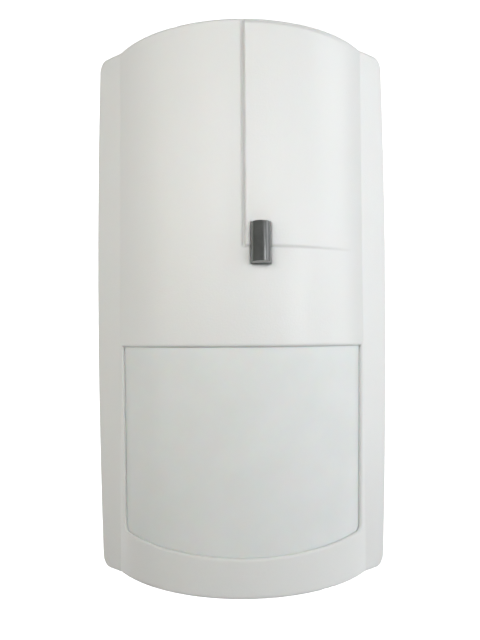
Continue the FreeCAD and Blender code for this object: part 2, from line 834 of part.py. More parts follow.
def hinge_lugs():
    pieces = []
    for side, sign in (("left", -1), ("right", 1)):
        middle = "%d * lug_middle" % sign
        arm = block("lug_arm_" + side, middle, "pivot_depth - 5", PIVOT_Z, "lug_width", "5",
                    "2 * lug_radius")
        eye = rod("lug_eye_" + side, "x", middle + " - lug_width / 2", "pivot_depth", PIVOT_Z,
                  "lug_radius", "lug_width")
        inner_end = "lug_middle - lug_width / 2"
        start = "%s - pin_length" % inner_end if sign > 0 else "-(%s)" % inner_end
        pin = rod("hinge_pin_" + side, "x", start, "pivot_depth", PIVOT_Z, "pin_radius", "pin_length")
        pieces += [arm, eye, pin]
    return pieces


def board_posts():
    spots = {"board_screw": ("0", "board_screw_z")}
    for side, sign in (("left", "-1"), ("right", "1")):
        spots["upper_" + side] = (sign + " * post_x", "board_top - post_inset")
        spots["lower_" + side] = (sign + " * post_x", "board_foot + post_inset")
    return [rod("post_" + name, "out", x, "wall - overlap", z, "post_radius",
                "board_back - board_gap - wall + overlap") for name, (x, z) in spots.items()]


def board_rails():
    """Four side rails with hooks over the edges of the circuit board."""
    pieces = []
    hook_front = "%s + board_gap + rail_hook" % BOARD_FRONT
    for side, sign in (("left", -1), ("right", 1)):
        for level in ("upper", "lower"):
            z = "rail_%s_z" % level
            inner = "(board_half_width + board_gap)"
            upright = block("rail_%s_%s" % (level, side), "%d * (%s + rail_width / 2)" % (sign, inner),
                            "rail_root", z, "rail_width", hook_front + " - rail_root", "rail_height")
            hook = block("hook_%s_%s" % (level, side), "%d * (%s + rail_width / 2 - rail_hook / 2)"
                         % (sign, inner), BOARD_FRONT + " + board_gap", z, "rail_width + rail_hook",
                         "rail_hook", "rail_height / 2")
            pieces += [upright, hook]
    return pieces


def lock_tab():
    """Shelf with an open slot that the lock screw bites into."""
    shelf = block("tab_shelf", 0, "wall - overlap", "tab_under + tab_thick / 2", "2 * tab_half",
                  "tab_front - wall + overlap", "tab_thick")
    web = block("tab_web", 0, "wall - overlap", "tab_under + overlap - tab_web_height / 2",
                "tab_thick", "tab_web_deep", "tab_web_height")
    round_end = rod("tab_slot_end", "up", 0, "screw_depth", "tab_under - 5", "screw_bore_radius", "10")
    mouth = block("tab_slot_mouth", 0, "screw_depth", "tab_under", "2 * screw_bore_radius", "10", "10")
    return cut("tab", fuse("tab_stock", [shelf, web]), fuse("tab_slot", [round_end, mouth]))


def base_holes():
    tools = [
        rod("cable_hole", "out", 0, "-1", "cable_hole_z", "cable_hole_radius", "wall + 2"),
        rod("post_thread", "out", 0, "wall + 1", "board_screw_z", "thread_radius",
            "board_back"),
    ]
    for level, up in (("upper", 1), ("lower", -1)):
        for side, sign in (("left", -1), ("right", 1)):
            corner = "%s_%s" % (level, side)
            tools.append(rod("wall_hole_" + corner, "out", "%d * wall_hole_x" % sign, "-1",
                             "%d * wall_hole_z" % up, "wall_hole_radius", "wall + 2"))
            slanted = rod("corner_hole_" + corner, "out",
                          "%d * (bevel_foot + corner_hole_depth + 3)" % sign,
                          "corner_hole_depth - 3", "%d * corner_hole_z" % up, "wall_hole_radius", "9")
            slanted.Placement.Rotation = FreeCAD.Rotation(
                FreeCAD.Vector(0, 0, 1), -sign * QUARTER_TURN / 2).multiply(
                FreeCAD.Rotation(FreeCAD.Vector(1, 0, 0), QUARTER_TURN))
            tools.append(slanted)
    return tools


def back_marks():
    """Shallow marks in the back: rings at the wall holes, two knock-outs and a blank label field."""
    deep = "2 * mark_depth"
    spots = {}
    for side, sign in (("left", "-1"), ("right", "1")):
        spots["knockout_" + side] = (sign + " * knockout_x", "knockout_z", "knockout_radius")
        for level, turn in (("upper", "1"), ("lower", "-1")):
            spots["%s_hole_%s" % (level, side)] = (
                sign + " * wall_hole_x", turn + " * wall_hole_z", "hole_ring_radius")
    tools = []
    for name, (x, z, radius) in spots.items():
        disc = rod("mark_disc_" + name, "out", x, "-mark_depth", z, radius, deep)
        core = rod("mark_core_" + name, "out", x, "-2 * mark_depth", z,
                   "%s - mark_width" % radius, "4 * mark_depth")
        tools.append(cut("mark_ring_" + name, disc, core))
    tools.append(block("label_field", 0, "-mark_depth", "label_z", "label_width", deep, "label_height"))
    return tools


# ---------------------------------------------------------------- screws

def board_screw():
    front = BOARD_FRONT + " + board_gap"
    screw = turned("board_screw", "0", "board_screw_z", stepped(
        ("shank_radius", "shank_back", front),
        ("screw_head_radius", front, front + " + screw_head")))
    hollow(screw, "board_screw_slot", "0", front + " + screw_head", "board_screw_z",
           rectangle("screw_head_radius + 1", "screw_slot_width / 2"), "screw_slot_depth")
    screw.Label = "pcb_screw"
    return screw


def lock_screw():
    foot = "(-half_height - screw_head)"
    shank = rod("lock_shank", "up", 0, "screw_depth", "-half_height", "screw_radius", "screw_length")
    head = rod("lock_head", "up", 0, "screw_depth", foot, "screw_head_radius", "screw_head")
    slot = block("lock_slot", 0, "screw_depth - 5", foot, "screw_slot_width", "10",
                 "2 * screw_slot_depth")
    screw = cut("lock_screw_solid", fuse("lock_screw_stock", [shank, head]), slot)
    screw.Label = "lock_screw"
    under = "tab_under - ring_gap - ring_thick"
    disc = rod("ring_disc", "up", 0, "screw_depth", under, "ring_radius", "ring_thick")
    bore = rod("ring_bore", "up", 0, "screw_depth", under + " - 1", "screw_bore_radius",
               "ring_thick + 2")
    ring = cut("retainer_ring", disc, bore)
    ring.Label = "screw_retainer_ring"
    return [screw, ring]


# ---------------------------------------------------------------- circuit board and what it carries

def main_board():
    board = plate("board", "0", "board_back", "(board_top + board_foot) / 2", "2 * board_half_width",
                  "board_thick", "board_top - board_foot")
    slot = [
        ("-board_slot_radius", "-board_slot_half", "board_slot_radius"),
        ("board_slot_radius", "-board_slot_half"),
        ("board_slot_radius", "board_slot_half", "board_slot_radius"),
        ("-board_slot_radius", "board_slot_half"),
    ]
    hollow(board, "board_slot", "0", BOARD_FRONT, "board_screw_z", slot, "board_thick")
    board.Label = "main_pcb"
    return board


def heat_sensor():
    front = BOARD_FRONT
    holder = plate("heat_holder", "0", front, "pyro_z", "pyro_holder_side", "pyro_holder_thick",
                   "pyro_holder_side")
    holder.Label = "pyro_holder"
    seat = "(%s + pyro_holder_thick)" % front
    can_front = "(%s + pyro_can_height)" % seat
    can = turned("heat_can", "0", "pyro_z", stepped(
        ("pyro_flange_radius", seat, seat + " + pyro_flange_thick"),
        ("pyro_can_radius", seat + " + pyro_flange_thick", can_front)))
    hollow(can, "heat_can_opening", "0", can_front, "pyro_z",
           rectangle("pyro_window_width / 2", "pyro_window_height / 2"), "pyro_skin")
    can.Label = "pyro_can"
    filter_window = plate("heat_filter", "0", can_front + " - pyro_skin", "pyro_z",
                          "pyro_window_width", "pyro_skin", "pyro_window_height")
    filter_window.Label = "pyro_window"
    leads = []
    for i, (x, z) in enumerate((("-pyro_lead_circle", "0"), ("pyro_lead_circle", "0"),
                                ("0", "-pyro_lead_circle"))):
        leads.append(rod("heat_lead_%d" % i, "out", x, "board_back - pyro_lead_length",
                         "pyro_z + " + z, "pyro_lead_radius", "pyro_lead_length"))
    lead_group = group("heat_leads", leads)
    lead_group.Label = "pyro_leads"
    return [holder, can, filter_window, lead_group]


def radar_unit():
    board = plate("radar_board", "0", "radar_back", "radar_z", "radar_width", "radar_thick",
                  "radar_height")
    board.Label = "microwave_board"
    can = plate("radar_can", "0", "radar_back - radar_can_deep", "radar_z", "radar_can_width",
                "radar_can_deep", "radar_can_height")
    inner = rectangle("radar_can_width / 2 - radar_can_skin", "radar_can_height / 2 - radar_can_skin")
    hollow(can, "radar_can_inside", "0", "radar_back", "radar_z", inner,
           "radar_can_deep - radar_can_skin")
    can.Label = "microwave_shield"
    pins = []
    for side, sign in (("left", -1), ("right", 1)):
        for i in range(4):
            z = "radar_z + pin_pitch * %.1f" % (i - 1.5)
            pins.append(block("radar_pin_%s_%d" % (side, i), "%d * radar_pin_x" % sign, BOARD_FRONT,
                              z, "pin_side", "radar_back - %s" % BOARD_FRONT, "pin_side"))
    pin_group = group("radar_pins", pins)
    pin_group.Label = "microwave_header_pins"
    return [board, can, pin_group]


def indicator_lights():
    lights = []
    for i, colour in enumerate(("red", "yellow", "green")):
        light = plate("light_" + colour, "led_place_x", BOARD_FRONT,
                      "led_place_z + light_step * %d" % (1 - i), "light_width", "light_deep",
                      "light_height")
        light.Label = "led_" + colour
        lights.append(light)
    return lights


def terminals():
    ways = 6
    front = "(%s + block_deep)" % BOARD_FRONT
    case = block("terminal_case", "block_x", BOARD_FRONT, "block_z", "%d * way_pitch" % ways,
                 "block_deep", "block_tall - 1")
    screws = []
    clamps = []
    for i in range(ways):
        x = "block_x + way_pitch * %.1f" % (i - (ways - 1) / 2)
        entry = block("way_entry_%d" % i, x, BOARD_FRONT + " + clamp_floor - fit_gap",
                      "block_z + way_pitch / 2", "clamp_side", "clamp_depth", "block_tall")
        case = cut("way_entry_cut_%d" % i, case, entry)
        well = rod("way_well_%d" % i, "out", x, BOARD_FRONT + " + way_well_floor", "block_z",
                   "way_screw_radius + fit_gap", "block_deep")
        case = cut("way_well_cut_%d" % i, case, well)
        head = rod("way_screw_%d" % i, "out", x, front + " - way_screw_sink - way_screw_length",
                   "block_z", "way_screw_radius", "way_screw_length")
        slot = block("way_slot_%d" % i, x, front + " - way_screw_sink - way_slot_deep", "block_z",
                     "way_pitch", "way_screw_sink + way_slot_deep", "way_slot_width")
        screws.append(cut("way_screw_slotted_%d" % i, head, slot))
        cage = block("clamp_%d" % i, x, BOARD_FRONT + " + clamp_floor", "block_z",
                     "clamp_side - 2 * fit_gap", "clamp_depth - 2 * fit_gap", "clamp_height")
        mouth = block("clamp_mouth_%d" % i, x, BOARD_FRONT + " + clamp_floor + clamp_wall", "block_z",
                      "clamp_side - 2 * fit_gap - 2 * clamp_wall",
                      "clamp_depth - 2 * fit_gap - 2 * clamp_wall", "2 * clamp_height")
        clamps.append(cut("clamp_open_%d" % i, cage, mouth))
    case.Label = "terminal_block"
    screw_group = group("way_screws", screws)
    screw_group.Label = "terminal_screws"
    clamp_group = group("way_clamps", clamps)
    clamp_group.Label = "terminal_clamps"
    return [case, screw_group, clamp_group]


def tamper_switch():
    body = plate("tamper_case", "tamper_x", BOARD_FRONT, "tamper_z", "tamper_width", "tamper_deep",
                 "tamper_height")
    half = "plunger_side / 2 + plunger_gap"
    hollow(body, "tamper_well", "tamper_x", BOARD_FRONT + " + tamper_deep", "tamper_z",
           rectangle(half, half), "tamper_deep - tamper_well_floor")
    body.Label = "tamper_switch_body"
    back = "(%s + plunger_floor)" % BOARD_FRONT
    plunger = plate("tamper_pin", "tamper_x", back, "tamper_z", "plunger_side",
                    "plunger_tip - " + back, "plunger_side")
    plunger.Label = "tamper_plunger"
    return [body, plunger]


def range_trimmer():
    front = "(%s + trimmer_deep)" % BOARD_FRONT
    body = plate("trimmer_case", "trimmer_x", BOARD_FRONT, "trimmer_z", "trimmer_side",
                 "trimmer_deep", "trimmer_side")
    reach = "(rotor_radius + rotor_gap)"
    ring = [("-" + reach, "0", reach), (reach, "0", reach)]
    hollow(body, "trimmer_well", "trimmer_x", front, "trimmer_z", ring, "rotor_sink + rotor_gap")
    body.Label = "trimmer_body"
    rotor = turned("trimmer_dial", "trimmer_x", "trimmer_z", stepped(
        ("rotor_radius", front + " - rotor_sink", front + " + rotor_proud")))
    hollow(rotor, "trimmer_dial_slot", "trimmer_x", front + " + rotor_proud", "trimmer_z",
           rectangle("rotor_radius - rotor_rim", "rotor_slot_width / 2"), "rotor_slot_deep")
    rotor.Label = "trimmer_rotor"
    return [body, rotor]


def jumpers():
    headers = []
    caps = []
    pin_front = "(%s + jumper_base + jumper_pin)" % BOARD_FRONT
    for i in range(3):
        x = "jumper_x + jumper_step * %d" % i
        base = block("jumper_base_%d" % i, x, BOARD_FRONT, "jumper_z", "cap_width", "jumper_base",
                     "2 * pin_pitch")
        pins = [block("jumper_pin_%d_%d" % (i, j), x, BOARD_FRONT + " + overlap",
                      "jumper_z + pin_pitch * %.1f" % (j - HALF), "pin_side",
                      "jumper_base + jumper_pin - overlap", "pin_side") for j in range(2)]
        headers.append(fuse("jumper_header_%d" % i, [base] + pins))
        cap = block("jumper_cap_case_%d" % i, x, pin_front + " - cap_height + cap_proud", "jumper_z",
                    "cap_width", "cap_height", "cap_length")
        for j in range(2):
            hole = block("cap_hole_%d_%d" % (i, j), x, pin_front + " - cap_height",
                         "jumper_z + pin_pitch * %.1f" % (j - HALF), "cap_hole",
                         "cap_height + fit_gap", "cap_hole")
            cap = cut("cap_holed_%d_%d" % (i, j), cap, hole)
        cap.Label = "jumper_cap_%d" % (i + 1)
        caps.append(cap)
    header_group = group("jumper_header_group", headers)
    header_group.Label = "jumper_headers"
    return [header_group] + caps


def chip(name, legs):
    """A surface-mounted circuit: a moulded case and two rows of legs, as one solid."""
    x, z, width, height = (name + word for word in ("_x", "_z", "_width", "_height"))
    pieces = [block(name + "_case", x, BOARD_FRONT + " + chip_stand", z, width, "chip_deep", height)]
    for i in range(legs):
        leg_z = "%s + leg_pitch * %.1f" % (z, i - (legs - 1) / 2)
        pieces.append(block("%s_leg_%d" % (name, i), x, BOARD_FRONT, leg_z, width + " + 2 * leg_reach",
                            "leg_deep", "leg_width"))
    return fuse(name, pieces)


def small_electronics():
    relay = plate("relay_case", "relay_x", BOARD_FRONT, "relay_z", "relay_width", "relay_deep",
                  "relay_height")
    relay.Label = "alarm_relay"
    controller = chip("controller", 10)
    controller.Label = "microcontroller"
    amplifier = chip("amplifier", 4)
    amplifier.Label = "op_amp"
    cans = []
    for side, sign in (("upper", "+"), ("lower", "-")):
        z = "capacitor_z %s capacitor_step / 2" % sign
        cans.append(turned("electrolytic_" + side, "capacitor_x", z, stepped(
            ("capacitor_radius", BOARD_FRONT, BOARD_FRONT + " + capacitor_tall"))))
    can_group = group("electrolytic_group", cans)
    can_group.Label = "filter_capacitors"
    crystal = plate("crystal_case", "crystal_x", BOARD_FRONT, "crystal_z", "crystal_width",
                    "crystal_deep", "crystal_height")
    crystal.Label = "crystal"
    return [relay, controller, amplifier, can_group, crystal]


def export(pieces):
    """Check every object of the document, then write one STEP file for each sub-part."""
    doc.recompute()
    for item in doc.Objects:
        if "Invalid" in item.State or "Error" in item.State:
            raise RuntimeError("%s did not recompute: %s" % (item.Name, item.State))
    os.makedirs("parts", exist_ok=True)
    for piece in pieces:
        shape = piece.Shape
        if shape.isNull() or not shape.isValid() or not shape.Solids:
            raise RuntimeError("%s has no valid shape" % piece.Label)
        shape.exportStep("parts/%s.step" % piece.Label)


outline = case_outline()
window = window_outline()
doc.recompute()
sub_parts = [rear_base(outline), front_cover(outline, window)]
sub_parts += light_window()
sub_parts += lens_parts(window)
sub_parts += [board_screw()]
sub_parts += lock_screw()
sub_parts += [main_board()]
sub_parts += heat_sensor()
sub_parts += radar_unit()
sub_parts += indicator_lights()
sub_parts += terminals()
sub_parts += tamper_switch()
sub_parts += range_trimmer()
sub_parts += jumpers()
sub_parts += small_electronics()
export(sub_parts)
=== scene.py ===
import json
import math
import random

import bmesh
import bpy
from mathutils import Matrix, Vector


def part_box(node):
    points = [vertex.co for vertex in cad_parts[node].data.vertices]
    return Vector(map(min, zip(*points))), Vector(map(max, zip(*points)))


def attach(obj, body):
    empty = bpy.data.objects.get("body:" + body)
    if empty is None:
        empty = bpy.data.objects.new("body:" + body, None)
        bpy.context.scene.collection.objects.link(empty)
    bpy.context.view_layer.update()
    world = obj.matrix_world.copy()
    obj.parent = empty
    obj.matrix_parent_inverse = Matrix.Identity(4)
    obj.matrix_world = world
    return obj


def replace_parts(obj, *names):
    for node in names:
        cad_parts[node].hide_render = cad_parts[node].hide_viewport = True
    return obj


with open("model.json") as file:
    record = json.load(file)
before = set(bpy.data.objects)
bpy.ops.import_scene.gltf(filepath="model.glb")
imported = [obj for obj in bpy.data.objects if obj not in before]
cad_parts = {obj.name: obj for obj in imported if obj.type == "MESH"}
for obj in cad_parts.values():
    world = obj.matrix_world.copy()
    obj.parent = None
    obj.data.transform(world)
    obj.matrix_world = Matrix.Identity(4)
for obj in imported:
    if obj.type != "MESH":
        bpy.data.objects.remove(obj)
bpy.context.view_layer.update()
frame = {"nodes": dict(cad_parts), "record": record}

MM = 0.001
NODES = frame["nodes"]
AXIS = 12.1             # depth of the barrel's upright axis, in millimetres
LENS_INNER = 33.05      # radius of the lens's inner face
COVER_INNER = 32.5      # radius of the cover's inner wall


# ------------------------------------------------------------------ materials

class Shade:
    """One node material. Patterns use object coordinates, which are the row's own metres."""

    def __init__(self, name):
        self.material = bpy.data.materials.new(name)
        self.material.use_nodes = True
        self.tree = self.material.node_tree
        self.shader = self.tree.nodes["Principled BSDF"]
        self.place = self.tree.nodes.new("ShaderNodeTexCoord").outputs["Object"]

    def set(self, **sockets):
        """Constant values on the shader's own sockets: Coat_Weight=0.2 sets "Coat Weight"."""
        for name, value in sockets.items():
            self.shader.inputs[name.replace("_", " ")].default_value = value

    def link(self, source, target):
        self.tree.links.new(source, target)

    def noise(self, feature, detail=2.0, roughness=0.5, stretch=(1, 1, 1)):
        """A noise whose features are about `feature` metres wide, divided by `stretch`."""
        mapping = self.tree.nodes.new("ShaderNodeMapping")
        mapping.inputs["Scale"].default_value = stretch
        self.link(self.place, mapping.inputs["Vector"])
        node = self.tree.nodes.new("ShaderNodeTexNoise")
        node.inputs["Scale"].default_value = 1 / feature
        node.inputs["Detail"].default_value = detail
        node.inputs["Roughness"].default_value = roughness
        self.link(mapping.outputs["Vector"], node.inputs["Vector"])
        return node.outputs["Fac"]

    def cells(self, feature):
        """Distance from the middle of the nearest of cells about `feature` metres wide."""
        node = self.tree.nodes.new("ShaderNodeTexVoronoi")
        node.inputs["Scale"].default_value = 1 / feature
        self.link(self.place, node.inputs["Vector"])
        return node.outputs["Distance"]

    def ramp(self, factor, stops):
        """Maps a factor to values or colours: stops are (position, value or colour)."""
        node = self.tree.nodes.new("ShaderNodeValToRGB")
        items = node.color_ramp.elements
        while len(items) < len(stops):
            items.new(0.5)
        for item, (position, value) in zip(items, stops):
            item.position = position
            item.color = tuple(value) + (1,) if hasattr(value, "__len__") else (value, value, value, 1)
        self.link(factor, node.inputs["Fac"])
        return node.outputs["Color"]

    def math(self, operation, first, second):
        node = self.tree.nodes.new("ShaderNodeMath")
        node.operation = operation
        for socket, value in zip(node.inputs, (first, second)):
            if isinstance(value, (int, float)):
                socket.default_value = value
            else:
                self.link(value, socket)
        return node.outputs["Value"]

    def bump(self, height, strength, distance, base=None):
        """Relief of `distance` metres, over the normals of `base`."""
        node = self.tree.nodes.new("ShaderNodeBump")
        node.inputs["Strength"].default_value = strength
        node.inputs["Distance"].default_value = distance
        self.link(height, node.inputs["Height"])
        if base is not None:
            self.link(base, node.inputs["Normal"])
        return node.outputs["Normal"]

    def soft_edges(self, radius):
        """Normals that round off every edge by `radius`."""
        node = self.tree.nodes.new("ShaderNodeBevel")
        node.samples = 6
        node.inputs["Radius"].default_value = radius
        return node.outputs["Normal"]


def tinted(colour, factor):
    """The colour made lighter or darker."""
    return tuple(min(channel * factor, 1.0) for channel in colour)


def moulded(name, colour, roughness=0.45, grain=0.25 * MM, depth=0.02 * MM, mottle=0.03,
            edge=0.15 * MM):
    """Moulded plastic: spark grain in the surface, faint large mottling, small edge radii."""
    shade = Shade(name)
    cloudy = shade.noise(14 * MM, detail=3)
    dark, light = tinted(colour, 1 - mottle), tinted(colour, 1 + mottle * 0.5)
    shade.link(shade.ramp(cloudy, ((0.3, dark), (0.7, light))),
               shade.shader.inputs["Base Color"])
    fine = shade.noise(grain, detail=2)
    shade.link(shade.ramp(fine, ((0.3, max(roughness - 0.07, 0.02)), (0.7, min(roughness + 0.07, 1)))),
               shade.shader.inputs["Roughness"])
    shade.link(shade.bump(fine, 1.0, depth, shade.soft_edges(edge)), shade.shader.inputs["Normal"])
    return shade


def metal(name, colour, roughness=0.3, brushed=(1, 1, 1), feature=0.4 * MM, depth=0.006 * MM):
    """Plated or pressed metal with fine drawing marks and dull patches."""
    shade = Shade(name)
    shade.set(Metallic=1.0)
    dull = shade.noise(3 * MM, detail=4)
    shade.link(shade.ramp(dull, ((0.3, tinted(colour, 0.82)), (0.7, colour))),
               shade.shader.inputs["Base Color"])
    marks = shade.noise(feature, detail=3, stretch=brushed)
    shade.link(shade.ramp(marks, ((0.3, roughness * 0.75), (0.7, min(roughness * 1.35, 1)))),
               shade.shader.inputs["Roughness"])
    shade.link(shade.bump(marks, 1.0, depth, shade.soft_edges(0.1 * MM)), shade.shader.inputs["Normal"])
    return shade


def cover_abs():
    """The white case: cream-white ABS with a fine spark-eroded grain that glints."""
    white = (0.80, 0.80, 0.788)
    shade = Shade("cover_abs")
    cloudy = shade.noise(22 * MM, detail=4)
    shade.link(shade.ramp(cloudy, ((0.25, (0.787, 0.788, 0.766)), (0.75, white))),
               shade.shader.inputs["Base Color"])
    spark = shade.noise(0.32 * MM, detail=3, roughness=0.6)
    pits = shade.cells(0.45 * MM)
    relief = shade.math("ADD", spark, shade.math("MULTIPLY", pits, 0.6))
    shade.link(shade.ramp(spark, ((0.3, 0.36), (0.7, 0.50))), shade.shader.inputs["Roughness"])
    shade.set(Specular_IOR_Level=0.5, Subsurface_Weight=0.08, Subsurface_Scale=0.8 * MM,
              Coat_Weight=0.3, Coat_Roughness=0.3)
    shade.link(shade.bump(relief, 1.0, 0.022 * MM, shade.soft_edges(0.8 * MM)),
               shade.shader.inputs["Normal"])
    return shade


def lens_hdpe():
    """Milky polyethylene sheet, a little greener and duller than the case."""
    shade = Shade("lens_hdpe")
    cloudy = shade.noise(9 * MM, detail=3)
    shade.link(shade.ramp(cloudy, ((0.3, (0.755, 0.77, 0.752)), (0.7, (0.785, 0.795, 0.785)))),
               shade.shader.inputs["Base Color"])
    frost = shade.noise(0.18 * MM, detail=3)
    shade.link(shade.ramp(frost, ((0.3, 0.42), (0.7, 0.56))), shade.shader.inputs["Roughness"])
    shade.set(Subsurface_Weight=0.25, Subsurface_Scale=1.2 * MM)
    shade.link(shade.bump(frost, 1.0, 0.010 * MM), shade.shader.inputs["Normal"])
    return shade


def smoked_window():
    """Glossy dark grey plastic with faint streaks and wiping marks."""
    shade = Shade("smoked_window")
    streaks = shade.noise(2.5 * MM, detail=3)
    shade.link(shade.ramp(streaks, ((0.3, (0.066, 0.070, 0.067)), (0.7, (0.088, 0.092, 0.088)))),
               shade.shader.inputs["Base Color"])
    shade.set(Coat_Weight=0.6, Coat_Roughness=0.08, Specular_IOR_Level=0.7)
    wear = shade.noise(0.5 * MM, detail=4)
    shade.link(shade.ramp(wear, ((0.3, 0.16), (0.7, 0.26))), shade.shader.inputs["Roughness"])
    shade.link(shade.bump(wear, 0.6, 0.004 * MM, shade.soft_edges(0.25 * MM)),
               shade.shader.inputs["Normal"])
    return shade


def clear_resin(name, colour, roughness=0.12):
    """Half-clear coloured resin with a slightly rippled surface."""
    shade = Shade(name)
    depth = shade.noise(1.2 * MM, detail=2)
    shade.link(shade.ramp(depth, ((0.3, tinted(colour, 0.85)), (0.7, colour))),
               shade.shader.inputs["Base Color"])
    shade.set(Transmission_Weight=0.55, IOR=1.49, Coat_Weight=0.3)
    ripple = shade.noise(0.8 * MM)
    shade.link(shade.ramp(ripple, ((0.3, roughness), (0.7, roughness + 0.08))),
               shade.shader.inputs["Roughness"])
    shade.link(shade.bump(ripple, 0.5, 0.003 * MM, shade.soft_edges(0.1 * MM)),
               shade.shader.inputs["Normal"])
    return shade


def solder_mask(name, colour):
    """Green mask over woven glass cloth: a faint square weave under a glossy coat."""
    shade = Shade(name)
    wave_x = shade.tree.nodes.new("ShaderNodeTexWave")
    wave_z = shade.tree.nodes.new("ShaderNodeTexWave")
    wave_z.bands_direction = "Z"
    for wave in (wave_x, wave_z):
        wave.inputs["Scale"].default_value = 1 / (5.0 * MM)
        wave.inputs["Distortion"].default_value = 0.6
        shade.link(shade.place, wave.inputs["Vector"])
    weave = shade.math("MAXIMUM", wave_x.outputs["Fac"], wave_z.outputs["Fac"])
    shade.link(shade.ramp(weave, ((0.2, tinted(colour, 0.8)), (0.9, colour))),
               shade.shader.inputs["Base Color"])
    stain = shade.noise(6 * MM, detail=4)
    shade.link(shade.ramp(stain, ((0.3, 0.22), (0.7, 0.36))), shade.shader.inputs["Roughness"])
    shade.set(Coat_Weight=0.4, Coat_Roughness=0.2)
    shade.link(shade.bump(weave, 0.4, 0.01 * MM, shade.soft_edges(0.08 * MM)),
               shade.shader.inputs["Normal"])
    return shade


MATERIALS = {
    "cover_abs": cover_abs(),
    "lens_hdpe": lens_hdpe(),
    "smoked_window": smoked_window(),
    "base_abs": moulded("base_abs", (0.76, 0.76, 0.73), 0.5, depth=0.025 * MM, edge=0.4 * MM),
    "frame_abs": moulded("frame_abs", (0.72, 0.72, 0.69), 0.45),
    "light_guide": clear_resin("light_guide", (0.85, 0.88, 0.88)),
    "screw_zinc": metal("screw_zinc", (0.62, 0.60, 0.50), 0.32, brushed=(1, 0.15, 1)),
    "lock_nickel": metal("lock_nickel", (0.58, 0.57, 0.54), 0.28, brushed=(1, 1, 0.15)),
    "ring_fibre": moulded("ring_fibre", (0.28, 0.05, 0.03), 0.6, grain=0.5 * MM, mottle=0.2),
    "pcb_green": solder_mask("pcb_green", (0.012, 0.115, 0.035)),
    "holder_black": moulded("holder_black", (0.02, 0.02, 0.021), 0.5),
    "can_nickel": metal("can_nickel", (0.60, 0.56, 0.48), 0.26),
    "filter_dark": clear_resin("filter_dark", (0.05, 0.03, 0.045), 0.08),
    "lead_tin": metal("lead_tin", (0.62, 0.62, 0.60), 0.25),
    "radar_board": moulded("radar_board", (0.62, 0.58, 0.42), 0.5, grain=0.7 * MM, mottle=0.06),
    "shield_tin": metal("shield_tin", (0.66, 0.66, 0.63), 0.3, brushed=(0.2, 1, 1)),
    "pin_gold": metal("pin_gold", (0.78, 0.54, 0.18), 0.24),
    "led_red": clear_resin("led_red", (0.65, 0.05, 0.03)),
    "led_yellow": clear_resin("led_yellow", (0.75, 0.50, 0.04)),
    "led_green": clear_resin("led_green", (0.08, 0.50, 0.08)),
    "terminal_green": moulded("terminal_green", (0.02, 0.24, 0.07), 0.42, grain=0.4 * MM, mottle=0.06),
    "terminal_screw": metal("terminal_screw", (0.60, 0.59, 0.55), 0.3, brushed=(1, 0.2, 1)),
    "terminal_clamp": metal("terminal_clamp", (0.70, 0.58, 0.32), 0.34),
    "switch_black": moulded("switch_black", (0.022, 0.022, 0.024), 0.4, mottle=0.1),
    "plunger_white": moulded("plunger_white", (0.70, 0.69, 0.62), 0.35, depth=0.006 * MM),
    "trimmer_blue": moulded("trimmer_blue", (0.02, 0.07, 0.32), 0.4, mottle=0.08),
    "rotor_white": moulded("rotor_white", (0.72, 0.70, 0.60), 0.38, depth=0.006 * MM),
    "header_black": moulded("header_black", (0.02, 0.02, 0.022), 0.42, mottle=0.1),
    "cap_black": moulded("cap_black", (0.018, 0.018, 0.02), 0.36, mottle=0.1),
    "relay_yellow": moulded("relay_yellow", (0.66, 0.65, 0.58), 0.34, depth=0.008 * MM, mottle=0.05),
    "chip_black": moulded("chip_black", (0.02, 0.02, 0.021), 0.55, grain=0.15 * MM, mottle=0.1),
    "capacitor_sleeve": moulded("capacitor_sleeve", (0.015, 0.025, 0.085), 0.25, depth=0.004 * MM),
    "crystal_steel": metal("crystal_steel", (0.64, 0.63, 0.60), 0.22),
    "ceramic_tan": moulded("ceramic_tan", (0.34, 0.20, 0.10), 0.4, grain=0.2 * MM, mottle=0.12),
    "solder_tin": metal("solder_tin", (0.62, 0.62, 0.60), 0.28, feature=0.25 * MM, depth=0.01 * MM),
    "print_white": moulded("print_white", (0.72, 0.72, 0.68), 0.6, grain=0.12 * MM, mottle=0.1),
    "track_green": solder_mask("track_green", (0.022, 0.17, 0.055)),
    "antenna_gold": metal("antenna_gold", (0.80, 0.55, 0.20), 0.3, feature=0.2 * MM),
}


def dress_cad_nodes():
    """Every CAD node gets the node material of its slot."""
    for row in frame["record"]["subparts"]:
        node = NODES[row["node"]]
        node.data.materials.clear()
        node.data.materials.append(MATERIALS[row["material_slot"]].material)


# ------------------------------------------------------------------ mesh code for the detail pieces

